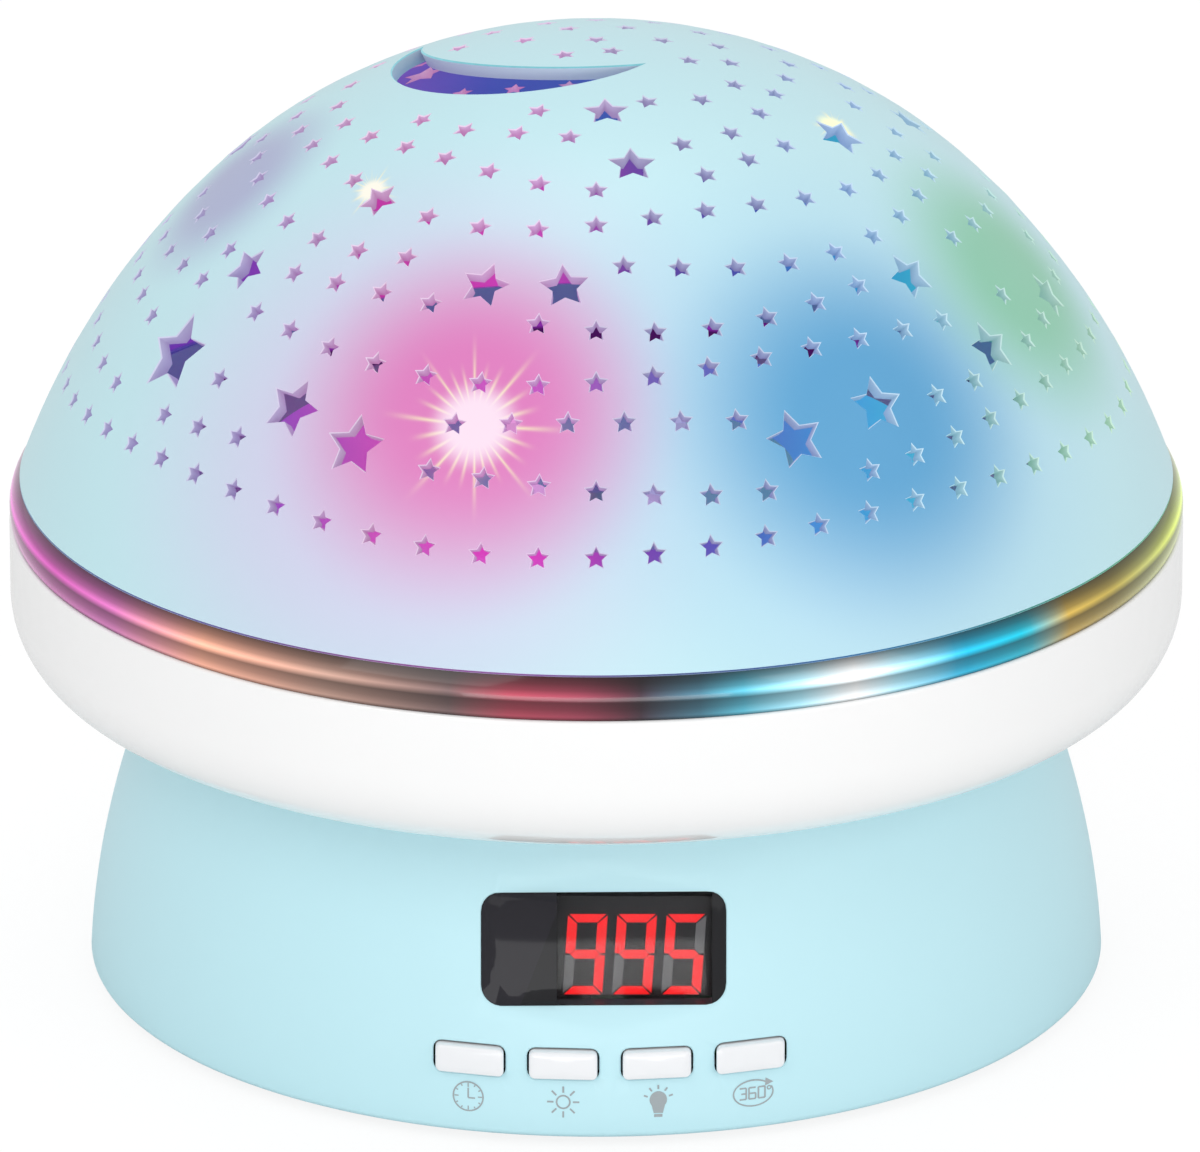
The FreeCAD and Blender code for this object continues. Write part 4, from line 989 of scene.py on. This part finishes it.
def moon_loop(inset):
    """Corners of the crescent on the dome, from one horn round to the other and back."""
    c1 = Vector(MOON_AT)
    c2 = c1 + Vector(MOON_BITE_SHIFT)
    r1, r2 = MOON_R - inset, MOON_BITE_R + inset
    gap = (c2 - c1).length
    along = (r1 * r1 - r2 * r2 + gap * gap) / (2 * gap)
    rise = math.sqrt(r1 * r1 - along * along)
    way = (c2 - c1) / gap
    side = Vector((-way.y, way.x))
    horns = [c1 + way * along + side * rise, c1 + way * along - side * rise]
    plan = []
    for centre, radius, ends, turn in ((c1, r1, horns, 1), (c2, r2, horns[::-1], -1)):
        start, end = (math.atan2(*(horn - centre).yx) for horn in ends)
        if (end - start) * turn < 0:
            end += 2 * math.pi * turn
        for i in range(MOON_STEPS):
            t = start + (end - start) * i / MOON_STEPS
            plan.append(centre + Vector((math.cos(t), math.sin(t))) * radius)
    return [Vector((p.x, p.y, between(p.length, 1)[2])) for p in plan]


def dome_mesh(stars):
    """Outer and inner skins with the holes open, the crescent's edge and wall, and the turned rim and skirt.
    """
    border = bow(0, 0, DOME_LENGTH, -90, 270, DOME_STEPS)[:-1]
    tops = [star_loop(*star) for star in stars] + [moon_loop(0.0)]
    centres = [(dome_frame(star[0], star[1])[0], star[2]) for star in stars]
    grid = [(0.0, 0.0)]
    way, ring_number = DOME_GRID, 0
    while way < DOME_LENGTH - GRID_RIM_CLEAR:
        r = between(way, 0)[1]
        count = max(8, round(2 * math.pi * r / GRID_PITCH))
        start = -90 + 180 * (ring_number % 2) / count
        for x, y in bow(0, 0, way, start, start + 360, count)[:-1]:
            point = off_map(x, y)
            near_star = any((point - middle).length < size + GRID_STAR_CLEAR for middle, size in centres)
            if not near_star and not in_moon(point.x, point.y, MOON_CLEAR):
                grid.append((x, y))
        way += DOME_GRID
        ring_number += 1
    holes = [[on_map(p) for p in loop] for loop in tops]
    verts, faces, loops = pierced_sheet(grid, border, holes, off_map)
    for loop, top in zip(loops, tops):
        for i, p in zip(loop, top):
            verts[i] = p
    outer_count = len(verts)
    slots = [0] * len(faces)
    inner_verts = []
    for v in verts:
        r = math.hypot(v.x, v.y)
        _, _, z, slope = between(r, 1)
        out = Vector((v.x / r, v.y / r, 0)) if r > 1e-6 else Vector((0, 0, 0))
        inner_verts.append(v - (out * math.sin(slope) + Vector((0, 0, math.cos(slope)))) * DOME_WALL)
    inner_faces = [tuple(outer_count + i for i in reversed(face)) for face in faces]
    verts += inner_verts
    faces += inner_faces
    slots += [1] * len(inner_faces)
    loop, start = loops[-1], len(verts)
    verts += [p - Vector((0, 0, STAR_EDGE_DEPTH)) for p in moon_loop(STAR_EDGE)]
    for i in range(len(loop)):
        k = (i + 1) % len(loop)
        faces.append((loop[k], loop[i], start + i, start + k))
        faces.append((start + k, start + i, outer_count + loop[i], outer_count + loop[k]))
        slots += [2, 3]
    inner_r = between(DOME_LENGTH, 0)[1]
    skirt_low = RIM_Z - SKIRT_DEPTH
    rim = [(RIM_R, RIM_Z + 0.001), (skirt_r, RIM_Z), (skirt_r, skirt_low), (skirt_r - SKIRT_WALL, skirt_low),
           (skirt_r - SKIRT_WALL, RIM_Z + RIM_LIP[0]),
           (inner_r - DOME_WALL * math.sin(math.radians(DOME_ARCS[-1][1])), RIM_Z + RIM_LIP[1])]
    rim_mesh = turned_mesh(rim, closed=False, steps=DOME_STEPS, flip=True)
    return joined([(verts, faces, slots), (*rim_mesh, 0)])


def painted_glint(tree, place, centre, core, reach):
    """Strength of a painted glint, where a glaring lamp shows through the wall: a round core with eight thin
    rays.
    """
    near = measure(tree, "SUBTRACT", place, [c * MM for c in centre], result="Vector")
    split = axes(tree, near)
    far = measure(tree, "LENGTH", near)
    turn = calc(tree, "ARCTAN2", split["Z"], split["X"])

    def fade(start, end):
        return spread(tree, far, 0.0, 1.0, start * MM, end * MM, interpolation_type="SMOOTHERSTEP")

    def spokes(turns, thinness, start, end):
        wave = calc(tree, "ABSOLUTE", calc(tree, "COSINE", calc(tree, "MULTIPLY", turn, turns)))
        return calc(tree, "MULTIPLY", calc(tree, "POWER", wave, thinness), fade(start, end))

    spikes = calc(tree, "MAXIMUM", spokes(4.0, 130.0, reach, core * 0.3),
                  spokes(12.0, 9.0, core * 1.75, core * 0.5))
    return fade(core * 1.3, core * 0.45), spikes


def blue_with_painted_glow():
    """Light blue satin plastic with the lamps' light painted into it: soft coloured pools in its colour where
    the lamps stand close behind it, and painted glaring spots with rays.
    """
    material = moulded("dome_blue_satin_painted_glow", DOME_BLUE, 0.38, mottle=0.012)
    tree = material.node_tree
    shader = tree.nodes["Principled BSDF"]
    colour = shader.inputs["Base Color"].links[0].from_socket
    place = add(tree, "ShaderNodeTexCoord").outputs["Object"]
    for _, centre, reach, tint, most in PAINTED_LAMP_GLOWS:
        far = measure(tree, "DISTANCE", place, [c * MM for c in centre])
        fade = spread(tree, far, 0.0, most, reach * MM, reach * MM * 0.25, interpolation_type="SMOOTHSTEP")
        colour = mix(tree, fade, colour, tint)
    dark = (0.0, 0.0, 0.0)
    light = dark
    for _, centre, core, reach, tint in PAINTED_GLINTS:
        middle, spikes = painted_glint(tree, place, centre, core, reach)
        for factor, hue in ((spikes, PAINTED_GLINT_RAY_TINT), (middle, tint)):
            light = mix(tree, factor, light, hue)
            colour = mix(tree, factor, colour, dark)
    feed(tree, shader, {"Base Color": colour, "Emission Color": light, "Emission Strength": 1.0})
    return material


# Inside of the dome, star hole edges and walls: the lamps' coloured light on them is painted as glow.
dome_inside = lamp_light_painted("dome_inner_painted_lamp_light", (0.10, 0.14, 0.18), 0.8, 0.0, high_stops=HIGH_PAINTED_LAMP_LIGHT_STOPS)
hole_edge = lamp_light_painted("hole_edge_painted_lamp_light", (0.35, 0.42, 0.46), 0.6, 0.35)
# The crescent's edge glows cyan: painted glow.
moon_edge_painted_glow = lit("moon_edge_painted_glow_cyan", (0.25, 0.75, 0.86), 0.7)
moon_wall = moulded("moon_wall_pale", (0.60, 0.74, 0.82), 0.4)
hole_wall = lamp_light_painted("hole_wall_painted_lamp_light", (0.26, 0.30, 0.38), 0.5, 0.2)
small_stars = small_star_places()
stars = LARGE_STARS + small_stars
verts, faces, slots = dome_mesh(stars)
skins = [blue_with_painted_glow(), dome_inside, moon_edge_painted_glow, moon_wall]
dome = welded(mesh_piece("pierced_dome", verts, faces, skins, slots))
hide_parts("star_dome")
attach(dome, "dome")


# Star edges: each hole has a small bevel round its mouth and a straight wall below, both with the lamps'
# light painted on them as glow. One well is drawn by rule and set into every hole, turned and widened to fit
# it.
def star_well_tree():
    """Geometry nodes that draw one star well and set it on each point."""
    tree = bpy.data.node_groups.new("star_wells", "GeometryNodeTree")
    for kind, names in (("Geometry", ("Points",)),
                        ("Float", ("Star radius", "Waist", "Edge", "Edge depth", "Wall depth")),
                        ("Material", ("Edge material", "Wall material"))):
        for name in names:
            tree.interface.new_socket(name, in_out="INPUT", socket_type="NodeSocket" + kind)
    tree.interface.new_socket("Wells", in_out="OUTPUT", socket_type="NodeSocketGeometry")
    given = add(tree, "NodeGroupInput").outputs

    def widened(geometry, scale, selection=True):
        where = add(tree, "GeometryNodeInputPosition").outputs["Position"]
        pack = add(tree, "ShaderNodeCombineXYZ", {"X": scale, "Y": scale, "Z": 1.0}).outputs["Vector"]
        inputs = {"Geometry": geometry, "Position": measure(tree, "MULTIPLY", where, pack, result="Vector"),
                  "Selection": selection}
        return add(tree, "GeometryNodeSetPosition", inputs).outputs["Geometry"]

    def deeper(geometry, depth, selection=True):
        down = add(tree, "ShaderNodeCombineXYZ", {"Z": calc(tree, "MULTIPLY", depth, -1.0)}).outputs["Vector"]
        inputs = {"Mesh": geometry, "Offset": down, "Selection": selection}
        return add(tree, "GeometryNodeExtrudeMesh", inputs, mode="EDGES").outputs

    corners = add(tree, "GeometryNodeMeshCircle", {"Vertices": 10, "Radius": 1.0}).outputs["Mesh"]
    odd = calc(tree, "MODULO", add(tree, "GeometryNodeInputIndex").outputs["Index"], 2)
    less = calc(tree, "SUBTRACT", 1.0, given["Waist"])
    reach = calc(tree, "SUBTRACT", 1.0, calc(tree, "MULTIPLY", odd, less))
    star = widened(corners, calc(tree, "MULTIPLY", reach, given["Star radius"]))
    first = deeper(star, given["Edge depth"])
    shrink = calc(tree, "SUBTRACT", 1.0, calc(tree, "DIVIDE", given["Edge"], given["Star radius"]))
    second = deeper(widened(first["Mesh"], shrink, first["Top"]), given["Wall depth"], first["Top"])
    turn, widen = [add(tree, "GeometryNodeInputNamedAttribute", {"Name": name}, data_type="FLOAT_VECTOR")
                   .outputs["Attribute"] for name in ("turn", "widen")]
    rotation = add(tree, "FunctionNodeEulerToRotation", {"Euler": turn}).outputs["Rotation"]
    setter = add(tree, "GeometryNodeInstanceOnPoints", {
        "Points": given["Points"], "Instance": second["Mesh"], "Rotation": rotation, "Scale": widen})
    real = add(tree, "GeometryNodeRealizeInstances", {"Geometry": setter.outputs["Instances"]})
    wells = real.outputs["Geometry"]
    for material, selection in (("Edge material", True), ("Wall material", second["Side"])):
        inputs = {"Geometry": wells, "Selection": selection, "Material": given[material]}
        wells = add(tree, "GeometryNodeSetMaterial", inputs).outputs["Geometry"]
    add(tree, "NodeGroupOutput", {"Wells": wells})
    return tree


def with_tree(name, points, attributes, tree, values):
    """Mesh made by a tree on points; the tree's inputs are set by their identifiers."""
    mesh = bpy.data.meshes.new(name)
    mesh.from_pydata([tuple(c * MM for c in p) for p in points], [], [])
    for label, rows in attributes.items():
        layer = mesh.attributes.new(label, "FLOAT_VECTOR", "POINT")
        layer.data.foreach_set("vector", [c for row in rows for c in row])
    holder = bpy.data.objects.new(name + "_points", mesh)
    bpy.context.scene.collection.objects.link(holder)
    modifier = holder.modifiers.new("wells", "NODES")
    modifier.node_group = tree
    for item in tree.interface.items_tree:
        if item.in_out == "INPUT" and item.name in values:
            modifier[item.identifier] = values[item.name]
    graph = bpy.context.evaluated_depsgraph_get()
    made = bpy.data.meshes.new_from_object(holder.evaluated_get(graph))
    bpy.data.objects.remove(holder)
    made.name = name
    piece = bpy.data.objects.new(name, made)
    bpy.context.scene.collection.objects.link(piece)
    return piece


for name, group, usual in (("small_star_wells", small_stars, SMALL_STAR_R),
                           ("large_star_wells", LARGE_STARS, LARGE_STAR_R)):
    points, turns, widths = [], [], []
    for azimuth, way, size, tilt in group:
        middle, side, rise, normal = dome_frame(azimuth, way)
        a = math.radians(tilt)
        tip = side * math.sin(a) + rise * math.cos(a)
        basis = Matrix((tip, normal.cross(tip), normal)).transposed()
        points.append(middle)
        turns.append(basis.to_euler())
        widths.append((size / usual, size / usual, 1.0))
    wells = with_tree(name, points, {"turn": turns, "widen": widths}, star_well_tree(), {
        "Star radius": usual * MM, "Waist": STAR_WAIST, "Edge": STAR_EDGE * MM,
        "Edge depth": STAR_EDGE_DEPTH * MM, "Wall depth": (DOME_WALL - STAR_EDGE_DEPTH) * MM,
        "Edge material": hole_edge, "Wall material": hole_wall})
    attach(wells, "dome")


# Setting: a plain white floor that keeps a soft shadow, even studio light and the camera.
def floor_material():
    """Matt white that keeps a soft shadow, and is brighter where the camera sees it."""
    material, tree, shader, _ = new_material("floor_white")
    tree.nodes.remove(shader)
    matt = add(tree, "ShaderNodeBsdfDiffuse", {"Color": (0.80, 0.80, 0.80, 1)})
    glow = add(tree, "ShaderNodeEmission", {"Strength": FLOOR_GLOW})
    seen = calc(tree, "MULTIPLY", add(tree, "ShaderNodeLightPath").outputs["Is Camera Ray"], FLOOR_GLOW_SHARE)
    blend = add(tree, "ShaderNodeMixShader", {0: seen, 1: matt.outputs["BSDF"], 2: glow.outputs["Emission"]})
    feed(tree, tree.nodes["Material Output"], {"Surface": blend.outputs["Shader"]})
    return material


FLOOR_GLOW = 1.06
FLOOR_GLOW_SHARE = 0.82
FLOOR_HALF = 4000
FLOOR_Z = -0.02
floor_corners = [(x * FLOOR_HALF, y * FLOOR_HALF, FLOOR_Z) for x, y in ((-1, -1), (1, -1), (1, 1), (-1, 1))]
floor = mesh_piece("studio_floor", floor_corners, [(0, 1, 2, 3)], [floor_material()])

world = bpy.data.worlds.new("studio")
bpy.context.scene.world = world
world.use_nodes = True
feed(world.node_tree, world.node_tree.nodes["Background"], {"Color": (1, 1, 1, 1), "Strength": 0.80})


SOFTBOXES = (
    ("key_softbox", (-0.55, -0.75, 0.85), (0, 0, 0.05), 0.6, 0.6, 1.8),
    ("fill_softbox", (0.75, -0.65, 0.5), (0, 0, 0.05), 0.5, 0.5, 1.2),
    ("low_softbox", (0.0, -1.1, 0.12), (0, 0, 0.02), 1.0, 0.2, 2.6),
    ("top_softbox", (0.0, 0.25, 1.1), (0, 0, 0.06), 0.7, 0.5, 1.4),
)
for name, place, aim, width, height, power in SOFTBOXES:
    lamp = bpy.data.lights.new(name, "AREA")
    lamp.shape = "RECTANGLE"
    lamp.size = width
    lamp.size_y = height
    lamp.energy = power
    box = bpy.data.objects.new(name, lamp)
    box.location = place
    box.rotation_euler = (Vector(aim) - Vector(place)).to_track_quat("-Z", "Y").to_euler()
    bpy.context.scene.collection.objects.link(box)

CAMERA_BACK = 1.4492
CAMERA_UP = 0.5916
CAMERA_PITCH = 20.67
CAMERA_ASIDE = 0.00041
FOCAL_PIXELS = 13952
PHOTO_WIDTH = 1200
SENSOR = 36.0
camera = bpy.data.cameras.new("camera")
camera.sensor_fit = "HORIZONTAL"
camera.sensor_width = SENSOR
camera.lens = FOCAL_PIXELS / PHOTO_WIDTH * SENSOR
camera.clip_start = 0.05
camera.clip_end = 50
viewpoint = bpy.data.objects.new("camera", camera)
viewpoint.location = (CAMERA_ASIDE, -CAMERA_BACK, CAMERA_UP)
viewpoint.rotation_euler = Euler((math.radians(90 - CAMERA_PITCH), 0, 0))
bpy.context.scene.collection.objects.link(viewpoint)
bpy.context.scene.camera = viewpoint
bpy.context.scene.view_settings.view_transform = "Standard"
